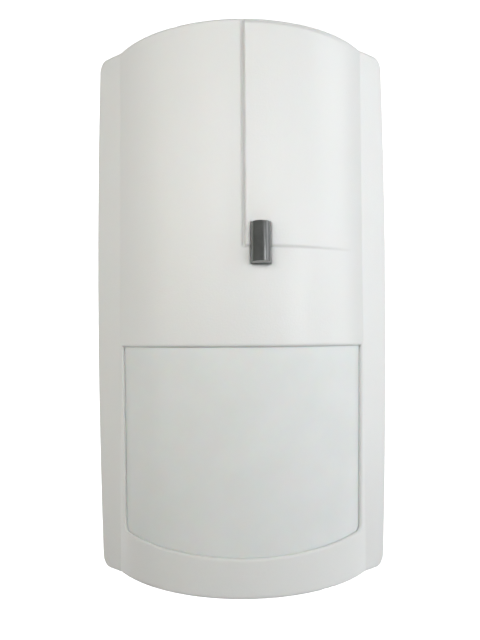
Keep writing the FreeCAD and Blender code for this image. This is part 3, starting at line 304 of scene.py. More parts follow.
class Work:
    """One detail piece gathered from small closed shapes. Places are (x, depth, z) in millimetres."""

    def __init__(self, name, body, slot_name, material=None):
        self.name = name
        self.body = body
        self.slot_name = slot_name
        self.material = MATERIALS[material or slot_name].material
        self.mesh = bmesh.new()

    def loft(self, rings, loop=False):
        """Quads between rings of points; the ends are capped, or joined to each other in a loop."""
        rows = [[self.mesh.verts.new((x * MM, -depth * MM, z * MM)) for x, depth, z in ring]
                for ring in rings]
        count = len(rows[0])
        pairs = list(zip(rows, rows[1:])) + ([(rows[-1], rows[0])] if loop else [])
        for low, high in pairs:
            for i in range(count):
                j = (i + 1) % count
                self.mesh.faces.new((low[i], low[j], high[j], high[i]))
        if not loop:
            self.mesh.faces.new(rows[0][::-1])
            self.mesh.faces.new(rows[-1])

    def slab(self, box, back, front, chamfer=0.0, corner=0.0):
        """A block from back to front with chamfered front edges and rounded corners."""
        rings = [outline(box, back, corner)]
        if chamfer:
            rings += [outline(box, front - chamfer, corner), outline(box, front, corner, chamfer)]
        else:
            rings.append(outline(box, front, corner))
        self.loft(rings)

    def frame(self, box, width, back, front, corner=0.0):
        """A closed rectangular ring, such as a printed outline."""
        self.loft([outline(box, back, corner), outline(box, front, corner),
                   outline(box, front, corner, width), outline(box, back, corner, width)], loop=True)

    def turned(self, x, z, steps, sides=20):
        """A shape turned about a line out of the wall; steps are (radius, depth)."""
        self.loft([circle(x, z, radius, depth, sides) for radius, depth in steps])

    def ring(self, x, z, inner, outer, back, front, sides=24):
        """A round ring whose hole has the radius `inner`."""
        self.loft([circle(x, z, outer, back, sides), circle(x, z, outer, front, sides),
                   circle(x, z, inner, front, sides), circle(x, z, inner, back, sides)], loop=True)

    def strip(self, points, width, back, front):
        """A flat track along points (x, z) with mitred corners."""
        rings = []
        for i, (x, z) in enumerate(points):
            before = points[max(i - 1, 0)]
            after = points[min(i + 1, len(points) - 1)]
            ways = [Vector((q[0] - p[0], q[1] - p[1])).normalized()
                    for p, q in ((before, (x, z)), ((x, z), after)) if p != q]
            along = sum(ways, Vector((0, 0))).normalized()
            reach = width / 2 / max(along.dot(ways[0]), 0.5)
            side = Vector((-along.y, along.x)) * reach
            rings.append([(x + side.x, back, z + side.y), (x + side.x, front, z + side.y),
                          (x - side.x, front, z - side.y), (x - side.x, back, z - side.y)])
        self.loft(rings)

    def finish(self, sharp=40):
        """Makes the object, which rides on its body; edges over `sharp` degrees stay hard."""
        bmesh.ops.recalc_face_normals(self.mesh, faces=self.mesh.faces[:])
        for edge in self.mesh.edges:
            edge.smooth = edge.calc_face_angle(0) < math.radians(sharp)
        for face in self.mesh.faces:
            face.smooth = True
        data = bpy.data.meshes.new(self.name)
        self.mesh.to_mesh(data)
        self.mesh.free()
        data.materials.append(self.material)
        piece = bpy.data.objects.new(self.name, data)
        bpy.context.scene.collection.objects.link(piece)
        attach(piece, self.body)
        return piece


def circle(x, z, radius, depth, sides):
    """The points of a circle at one depth."""
    turns = [2 * math.pi * i / sides for i in range(sides)]
    return [(x + radius * math.cos(a), depth, z + radius * math.sin(a)) for a in turns]


def outline(box, depth, corner=0.0, inset=0.0):
    """The points of a rectangle (left, right, low, high), inset and with rounded corners."""
    left, right, low, high = box
    left, right, low, high = left + inset, right - inset, low + inset, high - inset
    if not corner:
        return [(left, depth, low), (right, depth, low), (right, depth, high), (left, depth, high)]
    radius = max(corner - inset, 0.02)
    points = []
    for quarter, (x, z) in enumerate(((right, high), (left, high), (left, low), (right, low))):
        x -= math.copysign(radius, x - (left + right) / 2)
        z -= math.copysign(radius, z - (low + high) / 2)
        for step in range(5):
            a = math.pi / 2 * (quarter + step / 4)
            points.append((x + radius * math.cos(a), depth, z + radius * math.sin(a)))
    return points


def node_box(name, grow=0.0):
    """A node's left, right, low and high edges, then its back and front depth, in millimetres."""
    low, high = (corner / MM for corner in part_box(name))
    return (low.x - grow, high.x + grow, low.z - grow, high.z + grow), -high.y, -low.y


def centre(box):
    """The middle x and z of a box."""
    return (box[0] + box[1]) / 2, (box[2] + box[3]) / 2


def around(x, z, width, height):
    """A box round a middle."""
    return (x - width / 2, x + width / 2, z - height / 2, z + height / 2)


# ------------------------------------------------------------------ the circuit board's details

BOARD, BOARD_BACK, BOARD_FRONT = node_box("main_pcb")
COPPER = 0.045          # height of tracks and pads over the board
INK = 0.02              # height of printed marks
SEAT = 0.02             # how far a solid detail reaches into the surface that carries it
FILM = 0.01             # the same for printed and etched layers
POST_X = 21.0           # the base's four posts under the board: distance from the middle,
POST_INSET = 5.0        # from the board's ends,
POST_RADIUS = 2.6       # and their radius
BOARD_TRAVEL = 2.0      # slide of the board, up and down
PIN_PITCH = 2.54        # of headers, relay and trimmer
LEG_PITCH = 1.27        # of the two integrated circuits
TERMINAL_COUNT = 6
CAN_INSET = 3           # from the capacitors' upper and lower ends to the middle of each can
CHIP_ACROSS = 1.25      # width of a chip part
CHIP_ALONG = 2.05       # its length over both tinned ends
CHIP_END = 0.38         # length of one tinned end
PAD_ACROSS = 1.35       # width of its pads
PAD_ALONG = 0.85        # and their length
EDGE_VIAS = 17          # plated holes down each side of the board
FITTED = ["terminal_block", "trimmer_body", "led_red", "led_yellow", "led_green", "crystal",
          "microcontroller", "tamper_switch_body", "op_amp", "pyro_holder", "alarm_relay",
          "filter_capacitors", "pcb_screw", "jumper_headers", "microwave_header_pins"]
WITHOUT_OUTLINE = ("pcb_screw", "microwave_header_pins", "led_red", "led_yellow", "led_green",
                   "filter_capacitors")


def overlap(one, other):
    """Whether two boxes share any area."""
    return one[0] < other[1] and one[1] > other[0] and one[2] < other[3] and one[3] > other[2]


def free_of_parts(box, margin=0.35):
    """Whether a spot on the board is clear of the fitted parts and the board's edge."""
    for name in FITTED:
        part = node_box(name, margin)[0]
        strips = [part]
        if name == "microwave_header_pins":
            strips = [(part[0], part[0] + 2, *part[2:]), (part[1] - 2, part[1], *part[2:])]
        if any(overlap(box, strip) for strip in strips):
            return False
    side, end = 1.6, 0.8
    return (box[0] > BOARD[0] + side and box[1] < BOARD[1] - side
            and box[2] > BOARD[2] + end and box[3] < BOARD[3] - end)


def terminal_columns():
    """The middles of the terminals, from left to right."""
    box = node_box("terminal_block")[0]
    pitch = (box[1] - box[0]) / TERMINAL_COUNT
    return [box[0] + pitch * (way + 0.5) for way in range(TERMINAL_COUNT)]


def can_places():
    """The middles of the two capacitor cans, the upper one first."""
    box = node_box("filter_capacitors")[0]
    return [(centre(box)[0], z) for z in (box[3] - CAN_INSET, box[2] + CAN_INSET)]


def header_places():
    """The microwave board's pins: two upright rows of four."""
    box = node_box("microwave_header_pins")[0]
    return [(x, centre(box)[1] + PIN_PITCH * (i - 1.5))
            for x in (box[0] + 0.32, box[1] - 0.32) for i in range(4)]


# groups of chip parts: middle x and z, columns, rows, and whether the parts stand upright
GROUPS = ((-19.5, 17.0, 4, 1, True), (-11.5, 8.6, 2, 3, False), (-11.5, 15.4, 3, 2, True),
          (20.6, 12.5, 3, 3, True), (17.6, 7.4, 1, 3, False), (7.2, -2.5, 2, 3, False),
          (-14.5, -9.0, 4, 2, True), (-19.0, -16.5, 3, 2, False), (10.5, -20.5, 3, 2, True),
          (20.0, -19.0, 3, 2, False), (0.0, -30.5, 5, 2, True), (-9.8, -33.0, 2, 3, False),
          (9.0, -36.0, 2, 3, False), (-8.0, -43.5, 4, 1, True), (9.0, -44.0, 3, 1, True),
          (8.5, 45.5, 3, 2, True), (18.5, 45.0, 2, 2, False), (0.5, 21.5, 5, 1, True),
          (-2.5, 12.6, 3, 1, True), (20.5, -8.0, 2, 2, True))


def chip_spots():
    """Places for the chip parts, group by group: x, z and whether the part stands upright."""
    for middle_x, middle_z, columns, rows, upright in GROUPS:
        step_x, step_z = (2.3, 4.1) if upright else (4.1, 2.3)
        for i in range(columns * rows):
            x = middle_x + step_x * (i % columns - (columns - 1) / 2)
            z = middle_z + step_z * (i // columns - (rows - 1) / 2)
            yield x, z, upright


def chip_place(middle, across, along, upright):
    """The place that lies `across` and `along` a chip part from its middle."""
    x, z = middle
    return (x + across, z + along) if upright else (x + along, z + across)


def chip_box(middle, across, along, upright):
    """A box of that size across and along a chip part."""
    return around(*middle, across, along) if upright else around(*middle, along, across)


def solder_fillet(work, pad_middle, side, tall, upright):
    """A wedge of solder from a pad up to the chip part's tinned end."""
    base = BOARD_FRONT + COPPER
    near, far = -0.24 * side, 0.42 * side
    foot = ((-0.55, near), (0.55, near), (0.55, far), (-0.55, far))
    head = ((-0.45, near), (0.45, near), (0.45, 0.6 * near), (-0.45, 0.6 * near))
    rings = []
    for corners, depth in ((foot, base - FILM), (head, base + tall * 0.7)):
        places = [chip_place(pad_middle, across, along, upright) for across, along in corners]
        rings.append([(x, depth, z) for x, z in places])
    work.loft(rings)


def chip_part(work, ends, pads, middle, tall, upright):
    """One chip part with its tinned ends, pads and solder."""
    base = BOARD_FRONT + COPPER
    reach = CHIP_ALONG / 2 - 0.36
    work.slab(chip_box(middle, CHIP_ACROSS - 0.04, 2 * reach, upright), base, base + tall - 0.02, 0.05)
    for side in (-1, 1):
        spot = chip_place(middle, 0, side * (CHIP_ALONG / 2 - 0.18), upright)
        ends.slab(chip_box(spot, CHIP_ACROSS, CHIP_END, upright), base, base + tall, 0.07)
        spot = chip_place(middle, 0, side * (CHIP_ALONG / 2 + 0.12), upright)
        pads.slab(chip_box(spot, PAD_ACROSS, PAD_ALONG, upright), BOARD_FRONT - SEAT, BOARD_FRONT + COPPER,
                  0.02, corner=0.2)
        solder_fillet(ends, spot, side, tall, upright)


def part_outlines(marks):
    """Printed outlines round the fitted parts."""
    back, front = BOARD_FRONT - FILM, BOARD_FRONT + INK
    for name in FITTED:
        if name == "filter_capacitors":
            for x, z in can_places():
                marks.ring(x, z, 3.35, 3.5, back, front)
        if name not in WITHOUT_OUTLINE:
            marks.frame(node_box(name, 0.45)[0], 0.15, back, front)
    marks.frame(node_box("microwave_shield", 3.0)[0], 0.15, back, front)


def small_parts():
    """Chip resistors and capacitors in rows between the larger parts, where there is room."""
    dice = random.Random(11)
    resistor = Work("chip_resistors", "board", "chip_black")
    ceramic = Work("chip_capacitors", "board", "holder_black", "ceramic_tan")
    ends = Work("chip_ends", "board", "shield_tin", "solder_tin")
    pads = Work("solder_pads", "board", "shield_tin", "solder_tin")
    marks = Work("board_outlines", "board", "radar_board", "print_white")
    spots = []
    for x, z, upright in chip_spots():
        room = chip_box((x, z), CHIP_ACROSS + 0.9, CHIP_ALONG + 0.9, upright)
        if dice.random() < 0.08 or not free_of_parts(room):
            continue
        is_resistor = dice.random() < 0.55
        tall = 0.5 if is_resistor else dice.choice((0.7, 0.9))
        chip_part(resistor if is_resistor else ceramic, ends, pads, (x, z), tall, upright)
        clear = 1.35 if is_resistor else 1.45
        marks.frame(chip_box((x, z), CHIP_ACROSS + clear, CHIP_ALONG + clear, upright), 0.12,
                    BOARD_FRONT - FILM, BOARD_FRONT + INK, corner=0.3)
        spots.append((x, z, upright))
    part_outlines(marks)
    for work in (resistor, ceramic, ends, pads, marks):
        work.finish()
    return spots


def track(tracks, points, width=0.3):
    """A copper track on the board's front."""
    tracks.strip(points, width, BOARD_FRONT - FILM, BOARD_FRONT + COPPER * 0.7)


def plated_hole(vias, x, z):
    """A tinned ring with a shallow dimple for its hole."""
    top = BOARD_FRONT + COPPER
    vias.turned(x, z, ((0.42, BOARD_FRONT - SEAT), (0.42, top), (0.2, top), (0.16, BOARD_FRONT + 0.01)), 14)


def via(vias, x, z):
    """A plated hole at the end of a track, unless a part covers the place."""
    if free_of_parts(around(x, z, 0.9, 0.9), 0.1):
        plated_hole(vias, x, z)


def chip_tracks(tracks, vias, dice, spots):
    """A jogged track from both ends of each chip part."""
    start = 1.2
    for x, z, upright in spots:
        for side in (-1, 1):
            run = dice.uniform(1.0, 3.2)
            jog = dice.choice((-1, 1)) * dice.uniform(0.6, 1.8)
            bend = start + run * 0.4
            steps = ((0, start), (0, bend), (jog, bend + abs(jog)), (jog, start + run + abs(jog)))
            points = [chip_place((x, z), across, side * along, upright) for across, along in steps]
            end_x, end_z = points[-1]
            if BOARD[0] + 1 < end_x < BOARD[1] - 1 and BOARD[2] + 1 < end_z < BOARD[3] - 1:
                track(tracks, points)
                via(vias, end_x, end_z)


def terminal_bus(tracks, vias):
    """Wide tracks from the terminals to the left edge and down behind the microwave board."""
    start = node_box("terminal_block")[0][2] - 0.3
    corner = 0.6
    for way, x in enumerate(terminal_columns()):
        bend = 38.5 - 1.1 * way
        left = -23.4 + 0.95 * way
        end = 21.0 - 1.2 * way
        track(tracks, [(x, start), (x, bend + corner), (x - corner, bend), (left + corner, bend),
                       (left, bend - corner), (left, end)], 0.5)
        via(vias, left, end)


def leg_rows(name, legs):
    """The heights of a circuit's legs on one side."""
    middle = centre(node_box(name)[0])[1]
    return [middle + LEG_PITCH * (leg - (legs - 1) / 2) for leg in range(legs)]


def circuit_fans(tracks, vias, dice):
    """Tracks that fan out from both sides of the two integrated circuits."""
    for name, legs, spread in (("microcontroller", 10, 1.75), ("op_amp", 4, 1.5)):
        box = node_box(name)[0]
        for z in leg_rows(name, legs):
            for side, start in ((-1, box[0]), (1, box[1])):
                run = dice.uniform(0.5, 1.1)
                rise = (z - centre(box)[1]) * (spread - 1) * 0.5
                x = start + side * (run + abs(rise))
                end = (x + side * 0.8, z + rise)
                track(tracks, [(start, z), (start + side * run, z), (x, z + rise), end], 0.25)
                via(vias, *end)


def edge_vias(vias):
    """Ground stitching along the board's sides."""
    inset = 3
    for i in range(EDGE_VIAS):
        z = BOARD[2] + inset + (BOARD[3] - BOARD[2] - 2 * inset) / (EDGE_VIAS - 1) * i
        for x in (BOARD[0] + 1.2, BOARD[1] - 1.2):
            plated_hole(vias, x, z)


def tracks_and_vias(spots):
    """Copper tracks under the solder mask, with plated through holes where they end."""
    dice = random.Random(23)
    tracks = Work("board_tracks", "board", "pcb_green", "track_green")
    vias = Work("board_vias", "board", "shield_tin", "solder_tin")
    chip_tracks(tracks, vias, dice, spots)
    terminal_bus(tracks, vias)
    circuit_fans(tracks, vias, dice)
    edge_vias(vias)
    tracks.finish()
    vias.finish()


def joint_spots():
    """Where leads come through the board: (x, z, radius of the joint)."""
    small = 0.8
    spots = [(x, centre(node_box("terminal_block")[0])[1], 1.0) for x in terminal_columns()]
    spots += [(x, z, small) for x, z in header_places()]
    relay = node_box("alarm_relay")[0]
    spots += [(x, centre(relay)[1] + PIN_PITCH * (i - 2), small)
              for x in (relay[0] + 1.1, relay[1] - 1.1) for i in (0, 1.5, 2.5, 4)]
    spots += [(x + side * 1.25, z, small) for x, z in can_places() for side in (-1, 1)]
    header = node_box("jumper_headers")[0]
    spots += [(header[0] + 1.2 + 4.6 * i, centre(header)[1] + side * PIN_PITCH / 2, small)
              for i in range(3) for side in (-1, 1)]
    x, z = centre(node_box("crystal")[0])
    spots += [(x, z + side * 2.44, small) for side in (-1, 1)]
    x, z = centre(node_box("tamper_switch_body")[0])
    spots += [(x + a * 1.9, z + b * 2.6, 0.9) for a in (-1, 1) for b in (-1, 1)]
    x, z = centre(node_box("trimmer_body")[0])
    spots += [(x + a, z + b, small) for a, b in ((-PIN_PITCH, -2), (PIN_PITCH, -2), (0, 2))]
    return spots


def over_post(x, z, radius):
    """Whether a joint here would meet one of the base's posts while the board slides."""
    reach = POST_RADIUS + radius
    off_post = min(abs(z - (BOARD[3] - POST_INSET)), abs(z - (BOARD[2] + POST_INSET)))
    return abs(abs(x) - POST_X) < reach and off_post < reach + BOARD_TRAVEL


def solder_joints():
    """Cones of solder round the cut leads on the board's back, and on the microwave board's front."""
    work = Work("solder_joints", "board", "lead_tin", "solder_tin")
    for x, z, radius in joint_spots():
        if over_post(x, z, radius):
            continue
        cone = ((radius, -SEAT), (radius, 0.04), (radius * 0.62, 0.3), (radius * 0.4, 0.75),
                (radius * 0.36, 1.1))
        work.turned(x, z, [(wide, BOARD_BACK - out) for wide, out in cone], 14)
    front = node_box("microwave_board")[2]
    cone = ((0.85, -SEAT), (0.85, 0.04), (0.55, 0.22), (0.36, 0.55), (0.3, 0.85))
    for x, z in header_places():
        work.turned(x, z, [(wide, front + out) for wide, out in cone], 16)
    work.finish(55)


def antenna():
    """Two pairs of square patches with their feed lines, and plated holes, on the microwave board."""
    box, _, front = node_box("microwave_board")
    back = front - FILM
    copper = front + 0.05
    x0, z0 = centre(box)
    patch_x, feed_x = 8.6, 3.2
    work = Work("antenna_patches", "board", "pin_gold", "antenna_gold")
    for side in (-1, 1):
        for row in (-1, 1):
            work.slab(around(x0 + side * patch_x, z0 + row * 4.75, 7.6, 6.6), back, copper)
        for x, width in ((x0 + side * patch_x, 0.9), (x0 + side * feed_x, 0.6)):
            work.strip([(x, z0 - 4.6), (x, z0 + 4.6)], width, back, copper)
        work.strip([(x0 + side * feed_x, z0), (x0 + side * patch_x, z0)], 0.6, back, copper)
        for row in (-1, 1):
            work.ring(x0 + side * 18.2, z0 + row * 8.2, 0.7, 1.3, back, front + 0.06)
            work.ring(x0 + side * feed_x, z0 + row * 5.4, 0.3, 0.7, back, front + 0.06)
    inset, holes = 3.2, 15
    for i in range(holes):
        x = box[0] + inset + (box[1] - box[0] - 2 * inset) / (holes - 1) * i
        for z in (box[2] + 0.55, box[3] - 0.55):
            work.ring(x, z, 0.18, 0.36, back, front + 0.045, 10)
    work.frame(around(x0, z0, 39.2, 19.2), 0.35, back, front + 0.035)
    work.finish()


def circuit_case(node, case_box, waist):
    """A moulded case with a chamfered head and foot, a first-pin dimple and a line along one side."""
    _, back, front = node_box(node)
    case = Work(node + "_case", "board", "chip_black")
    case.loft([outline(case_box, back + 0.22, 0.0, 0.22), outline(case_box, waist),
               outline(case_box, waist + 0.12), outline(case_box, front, 0.0, 0.24)])
    case.ring(case_box[0] + 1.0, case_box[3] - 1.0, 0.32, 0.42, front - SEAT, front + 0.02)
    line = [(case_box[0] + 0.45, case_box[2] + 0.3), (case_box[0] + 0.45, case_box[3] - 0.3)]
    case.strip(line, 0.1, front - SEAT, front + 0.015)
    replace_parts(case.finish(25), node)


def integrated_circuit(node, legs):
    """A moulded case on gull-wing legs."""
    box, back, _ = node_box(node)
    case_box = (box[0] + 1.0, box[1] - 1.0, box[2], box[3])
    waist = back + 0.85
    half = 0.21
    circuit_case(node, case_box, waist)
    feet = Work(node + "_legs", "board", "shield_tin", "solder_tin")
    for z in leg_rows(node, legs):
        for side, root, toe in ((-1, case_box[0], box[0]), (1, case_box[1], box[1])):
            line = [(root - side * 0.05, waist + 0.1), (root + side * 0.28, waist + 0.1),
                    (root + side * 0.45, waist - 0.05), (toe - side * 0.55, back + 0.16),
                    (toe - side * 0.4, back + 0.1), (toe, back + 0.1)]
            feet.loft([[(x, depth - 0.08, z - half), (x, depth - 0.08, z + half),
                        (x, depth + 0.06, z + half), (x, depth + 0.06, z - half)] for x, depth in line])
            feet.slab(around(toe - side * 0.2, z, 1.1, 0.6), back - SEAT, back + COPPER, 0.02)
    feet.finish()


def can_top(tops, x, z, front):
    """A can's aluminium top, scored into four quarters, inside its rolled rim."""
    tops.turned(x, z, ((2.5, front - 0.05), (2.5, front + 0.04)), 32)
    quarter, score, steps = math.pi / 2, 0.13, 8
    for number in range(4):
        arc = [quarter * number + score + (quarter - 2 * score) * i / steps for i in range(steps + 1)]
        middle = arc[steps // 2]
        wedge = [(x + 0.25 * math.cos(middle), z + 0.25 * math.sin(middle))]
        wedge += [(x + 2.35 * math.cos(a), z + 2.35 * math.sin(a)) for a in arc]
        tops.loft([[(px, depth, pz) for px, pz in wedge] for depth in (front + 0.02, front + 0.14)])
    tops.ring(x, z, 2.5, 2.98, front - SEAT, front + 0.1, 32)


def can_stripe(stripes, x, z, back, front):
    """The pale polarity stripe down a can's left side."""
    inner, outer, half_turn, steps = 2.97, 3.03, 0.45, 6
    section = ((inner, back + 0.3), (outer, back + 0.3), (outer, front - 0.1), (inner, front - 0.1))
    arc = [math.pi + half_turn * (i / steps - 0.5) * 2 for i in range(steps + 1)]
    stripes.loft([[(x + r * math.cos(a), depth, z + r * math.sin(a)) for r, depth in section] for a in arc])


def capacitor_tops():
    """Tops and stripes of the two electrolytic capacitors."""
    _, back, front = node_box("filter_capacitors")
    tops = Work("capacitor_tops", "board", "shield_tin")
    stripes = Work("capacitor_stripes", "board", "radar_board", "print_white")
    for x, z in can_places():
        can_top(tops, x, z, front)
        can_stripe(stripes, x, z, back, front)
    tops.finish()
    stripes.finish()


def relay_trim():
    """A raised rim, a foot rim, a dimple and a printed bar on the relay."""
    box, back, front = node_box("alarm_relay")
    trim = Work("relay_trim", "board", "relay_yellow")
    trim.frame(node_box("alarm_relay", -0.35)[0], 0.3, front - SEAT, front + 0.12, 0.4)
    trim.frame(node_box("alarm_relay", 0.18)[0], 0.2, back + 0.05, back + 0.75, 0.3)
    trim.turned(box[0] + 1.5, box[3] - 1.6, ((0.55, front - SEAT), (0.55, front + 0.1), (0.3, front + 0.1),
                                             (0.26, front - 0.01)))
    trim.finish()
    bar = Work("relay_mark", "board", "chip_black")
    bar.slab((box[0] + 1.0, box[1] - 1.0, box[3] - 3.4, box[3] - 3.0), front - FILM, front + INK)
    bar.finish()


def terminal_ribs():
    """Ribs between the terminals, a rim round each screw well and a lip along the foot."""
    box, back, front = node_box("terminal_block")
    pitch = (box[1] - box[0]) / TERMINAL_COUNT
    half = 0.3
    ribs = Work("terminal_ribs", "board", "terminal_green")
    for way in range(TERMINAL_COUNT + 1):
        x = min(max(box[0] + pitch * way, box[0] + half), box[1] - half)
        ribs.slab((x - half, x + half, box[2] + 0.1, box[3] - 0.1), front - SEAT, front + 0.3, 0.12)
    for x in terminal_columns():
        ribs.ring(x, centre(box)[1], 1.36, 1.62, front - SEAT, front + 0.14)
    ribs.slab((box[0], box[1], box[2] - 0.35, box[2] + 0.02), back + 0.1, back + 1.6, 0.2)
    ribs.finish()


def crystal_rim():
    """The crystal can's welded rim."""
    box, back, _ = node_box("crystal", 0.3)
    rim = Work("crystal_rim", "board", "crystal_steel")
    rim.slab(box, back + 0.02, back + 0.42, 0.1, corner=2.2)
    rim.finish()


def trimmer_marks():
    """Eleven ticks over the trimmer's 270 degrees, the first, middle and last one longer."""
    body, _, front = node_box("trimmer_body")
    x, z = centre(body)
    marks = Work("trimmer_marks", "board", "radar_board", "print_white")
    for i in range(11):
        a = math.radians(90 - 135 + 27 * i)
        tick = [(x + r * math.cos(a), z + r * math.sin(a)) for r in (2.45, 2.9 if i % 5 else 3.1)]
        marks.strip(tick, 0.16, front - FILM, front + 0.03)
    marks.finish()


def jumper_grip(name):
    """Finger ridges on a jumper cap's sides and a rim round its top."""
    box, back, front = node_box(name)
    grip = Work(name + "_grip", name, "cap_black")
    for z in (box[2] + 0.5, box[2] + 1.3, box[3] - 1.3, box[3] - 0.5):
        for side, x in ((-1, box[0]), (1, box[1])):
            left, right = sorted((x, x + side * 0.12))
            grip.slab((left, right, z - 0.18, z + 0.18), back + 1.0, front - 0.4, 0.05)
    grip.frame(node_box(name, -0.1)[0], 0.22, front - SEAT, front + 0.1)
    grip.finish()


def diode(case, legs, band, box, tall):
    """A moulded diode with a band at its upper end and a tab at both ends."""
    base = BOARD_FRONT + COPPER
    tab = (box[1] - box[0]) * 0.6
    case.slab(box, base + 0.1, base + tall, 0.25)
    band.slab((box[0] + 0.25, box[1] - 0.25, box[3] - 1.0, box[3] - 0.5), base + tall - FILM,
              base + tall + INK)
    for side, end in ((-1, box[2]), (1, box[3])):
        legs.slab(around(centre(box)[0], end + side * 0.25, tab, 1.1), BOARD_FRONT, base + 0.55, 0.15)


def transistor(case, legs, x, z):
    """A small three-legged case, with two legs on the left and one on the right."""
    base = BOARD_FRONT + COPPER
    case.slab(around(x, z, 1.4, 2.9), base + 0.1, base + 1.0, 0.14)
    for dx, dz in ((-1, -0.95), (-1, 0.95), (1, 0)):
        legs.slab(around(x + dx * 0.95, z + dz, 0.7, 0.42), BOARD_FRONT, base + 0.18, 0.06)


def larger_small_parts():
    """Moulded diodes and transistors between the larger parts, where there is room."""
    case = Work("diode_cases", "board", "chip_black")
    legs = Work("diode_legs", "board", "shield_tin", "solder_tin")
    band = Work("diode_bands", "board", "radar_board", "print_white")
    for x, z, width, height, tall in ((13.4, 45.6, 2.7, 4.4, 2.1), (-23.0, -2.6, 2.2, 3.6, 1.3)):
        box = around(x, z, width, height)
        if free_of_parts(box, 0.1):
            diode(case, legs, band, box, tall)
    for x, z in ((22.0, 26.5), (-22.8, 34.5), (20.4, 38.6), (-4.5, -27.0), (12.0, -31.5)):
        if free_of_parts(around(x, z, 1.4, 2.9), 0.1):
            transistor(case, legs, x, z)
    for work in (case, legs, band):
        work.finish()


# ------------------------------------------------------------------ the lens's facets and the cover's inside

FACET_PITCH = 0.85      # between ridges
FACET_SIDES = 32
FACET_REACH = math.radians(50)
FACET_EDGE = 0.3        # how far the facets' outer edges reach into the sheet
# tiers of lenses: upper edge, lower edge, and how many stand side by side
TIERS = ((-10.6, -22.4, 7), (-22.4, -32.6, 6), (-32.6, -41.4, 5), (-41.4, -49.0, 4))


def barrel_place(radius, turn, z):
    """A point at a radius and turn about the barrel's upright axis."""
    return (radius * math.sin(turn), AXIS + radius * math.cos(turn), z)


def facet_ring(radius, height, middle, limits):
    """A circle round the middle (turn, z), cut off at the lens's straight edges.

    It lies `height` inside the sheet's inner face; limits are half the width, then up and down.
    """
    turn, z = middle
    half_width, up, down = limits
    ring = []
    for i in range(FACET_SIDES):
        a = 2 * math.pi * (i + 0.5) / FACET_SIDES
        limit_x = half_width / max(abs(math.cos(a)), 0.001)
        limit_z = (up if math.sin(a) > 0 else down) / max(abs(math.sin(a)), 0.001)
        r = min(radius, limit_x, limit_z)
        ring.append(barrel_place(LENS_INNER - height, turn + r * math.cos(a) / LENS_INNER,
                                 z + r * math.sin(a)))
    return ring


def lens_facet(work, left, right, low, high):
    """One small Fresnel lens: concentric ridges about a point a little below the middle."""
    middle = ((left + right) / 2, (low + high) / 2 - 0.6)
    half_width = (right - left) / 2 * LENS_INNER - 0.12
    limits = (half_width, high - 0.1 - middle[1], middle[1] - low - 0.1)
    count = int(math.hypot(half_width, (high - low) / 2) / FACET_PITCH) + 1
    rings = [facet_ring(0.05, 0.02, middle, limits)]
    for index in range(1, count + 1):
        rings.append(facet_ring(FACET_PITCH * (index - 0.12), 0.14, middle, limits))
        rings.append(facet_ring(FACET_PITCH * index, 0.03, middle, limits))
    rings.append(facet_ring(FACET_PITCH * count, -FACET_EDGE, middle, limits))
    work.loft(rings)


def lens_facets():
    """Four tiers of small Fresnel lenses, moulded into the sheet's inner face."""
    work = Work("lens_facets", "cover", "lens_hdpe")
    for high, low, columns in TIERS:
        width = 2 * FACET_REACH / columns
        for column in range(columns):
            left = -FACET_REACH + width * column
            lens_facet(work, left, left + width, low, high)
    bmesh.ops.remove_doubles(work.mesh, verts=work.mesh.verts[:], dist=0.004 * MM)
    work.finish(20)


def cover_inside():
    """Ejector marks on the cover's inner wall."""
    work = Work("cover_inner_marks", "cover", "cover_abs")
    front = AXIS + COVER_INNER
    for z in (50.0, 24.0):
        work.turned(0, z, ((2.2, front + 0.3), (2.2, front - 0.1), (2.05, front - 0.22)), 32)
    work.finish()


# ------------------------------------------------------------------ stage, light and camera

def sweep_profile():
    """The sweep seen from the side, as (y, z) over the floor: flat, a quarter circle, then upright."""
    depth, rise, curve, steps = 1.6, 2.0, 0.5, 16
    points = [(-1.8, 0.0), (0.2, 0.0)]
    for i in range(steps + 1):
        turn = math.pi / 2 * i / steps
        points.append((depth - curve + curve * math.sin(turn), curve - curve * math.cos(turn)))
    return points + [(depth, rise)]


def studio_paper():
    """Pale paper that shines by itself from behind the case on, for an even white backdrop."""
    paper = Shade("studio_paper")
    tone = paper.noise(0.4, detail=2)
    paper.link(paper.ramp(tone, ((0.3, 0.80), (0.7, 0.82))), paper.shader.inputs["Base Color"])
    split = paper.tree.nodes.new("ShaderNodeSeparateXYZ")
    paper.link(paper.place, split.inputs["Vector"])
    lit = paper.ramp(split.outputs["Y"], ((0.08, 0.0), (0.30, 1.0)))
    paper.link(lit, paper.shader.inputs["Emission Color"])
    paper.set(Roughness=0.9, Emission_Strength=1.1)
    return paper.material


def studio():
    """A pale floor well below the case that sweeps up into the backdrop."""
    floor_z, half = -0.25, 2.4
    profile = sweep_profile()
    sheet = bmesh.new()
    left = [sheet.verts.new((-half, y, floor_z + z)) for y, z in profile]
    right = [sheet.verts.new((half, y, floor_z + z)) for y, z in profile]
    for i in range(len(profile) - 1):
        sheet.faces.new((left[i], left[i + 1], right[i + 1], right[i]))
    mesh = bpy.data.meshes.new("studio_sweep")
    sheet.to_mesh(mesh)
    sheet.free()
    mesh.polygons.foreach_set("use_smooth", [True] * len(mesh.polygons))
    mesh.materials.append(studio_paper())
    sweep = bpy.data.objects.new("studio_sweep", mesh)
    bpy.context.scene.collection.objects.link(sweep)


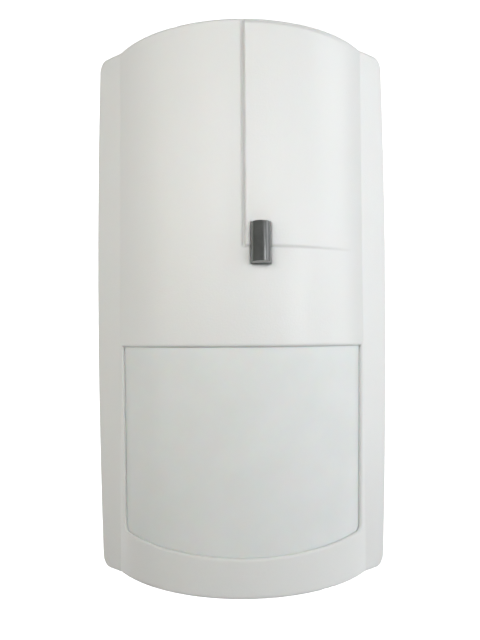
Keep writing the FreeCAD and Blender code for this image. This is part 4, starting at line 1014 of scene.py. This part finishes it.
# name: place, size across and up, power and colour; each points at the middle of the case
LAMPS = {
    "side_right": ((0.50, -0.10, 0.10), (0.30, 0.50), 1.12, (0.95, 0.97, 1.0)),
    "sheen_right": ((0.38, -0.38, 0.03), (0.12, 0.12), 0.40, (0.95, 0.99, 1.0)),
    "near_right": ((0.12, -0.20, 0.05), (0.08, 0.08), 0.010, (1.0, 0.96, 1.0)),
    "near_middle": ((0.06, -0.19, 0.06), (0.06, 0.06), 0.076, (0.97, 1.0, 0.99)),
    "near_left": ((-0.07, -0.19, 0.06), (0.06, 0.06), 0.076, (1.0, 0.97, 0.98)),
    "far_left": ((-0.20, -0.16, 0.05), (0.10, 0.10), 0.150, (1.0, 0.995, 0.88)),
}
# the lamps that show in glossy surfaces; the others only fill
MIRRORED = ("side_right", "sheen_right", "near_right")
AIR = 0.12              # strength of the even white light from all round


def lights():
    """The lamps, the air and a plain view of their brightness."""
    middle = Vector((0, -30 * MM, 0))
    for name, (place, size, power, colour) in LAMPS.items():
        data = bpy.data.lights.new(name, "AREA")
        data.shape = "RECTANGLE"
        data.size, data.size_y = size
        data.energy = power
        data.color = colour
        item = bpy.data.objects.new(name, data)
        item.location = place
        item.rotation_euler = (middle - Vector(place)).to_track_quat("-Z", "Y").to_euler()
        item.visible_glossy = name in MIRRORED
        bpy.context.scene.collection.objects.link(item)
    world = bpy.data.worlds.new("studio_air")
    world.use_nodes = True
    air = world.node_tree.nodes["Background"]
    air.inputs["Color"].default_value = (1.0, 1.0, 1.0, 1)
    air.inputs["Strength"].default_value = AIR
    bpy.context.scene.world = world
    bpy.context.scene.view_settings.view_transform = "Standard"


def camera():
    """A close camera a little below the middle of the case, almost square to its face."""
    yaw, pitch, roll = 0.0103, 0.0292, 0.0062
    place = Vector((1.1, -173.0, -6.9)) * MM
    across = Vector((-math.sin(yaw), math.cos(yaw), 0))
    ahead = across * math.cos(pitch) + Vector((0, 0, math.sin(pitch)))
    right = Vector((math.cos(yaw), math.sin(yaw), 0))
    up = Vector((0, 0, math.cos(pitch))) - across * math.sin(pitch)
    image_right = right * math.cos(roll) - up * math.sin(roll)
    image_up = right * math.sin(roll) + up * math.cos(roll)
    data = bpy.data.cameras.new("camera")
    data.sensor_width = 36
    data.lens = 33.75
    data.clip_start = 0.005
    item = bpy.data.objects.new("camera", data)
    turn = Matrix((image_right, image_up, -ahead)).transposed()
    item.matrix_world = Matrix.Translation(place) @ turn.to_4x4()
    bpy.context.scene.collection.objects.link(item)
    bpy.context.scene.camera = item


dress_cad_nodes()
tracks_and_vias(small_parts())
larger_small_parts()
solder_joints()
antenna()
integrated_circuit("microcontroller", 10)
integrated_circuit("op_amp", 4)
capacitor_tops()
relay_trim()
terminal_ribs()
crystal_rim()
trimmer_marks()
for number in (1, 2, 3):
    jumper_grip("jumper_cap_%d" % number)
lens_facets()
cover_inside()
studio()
lights()
camera()

bpy.context.view_layer.update()
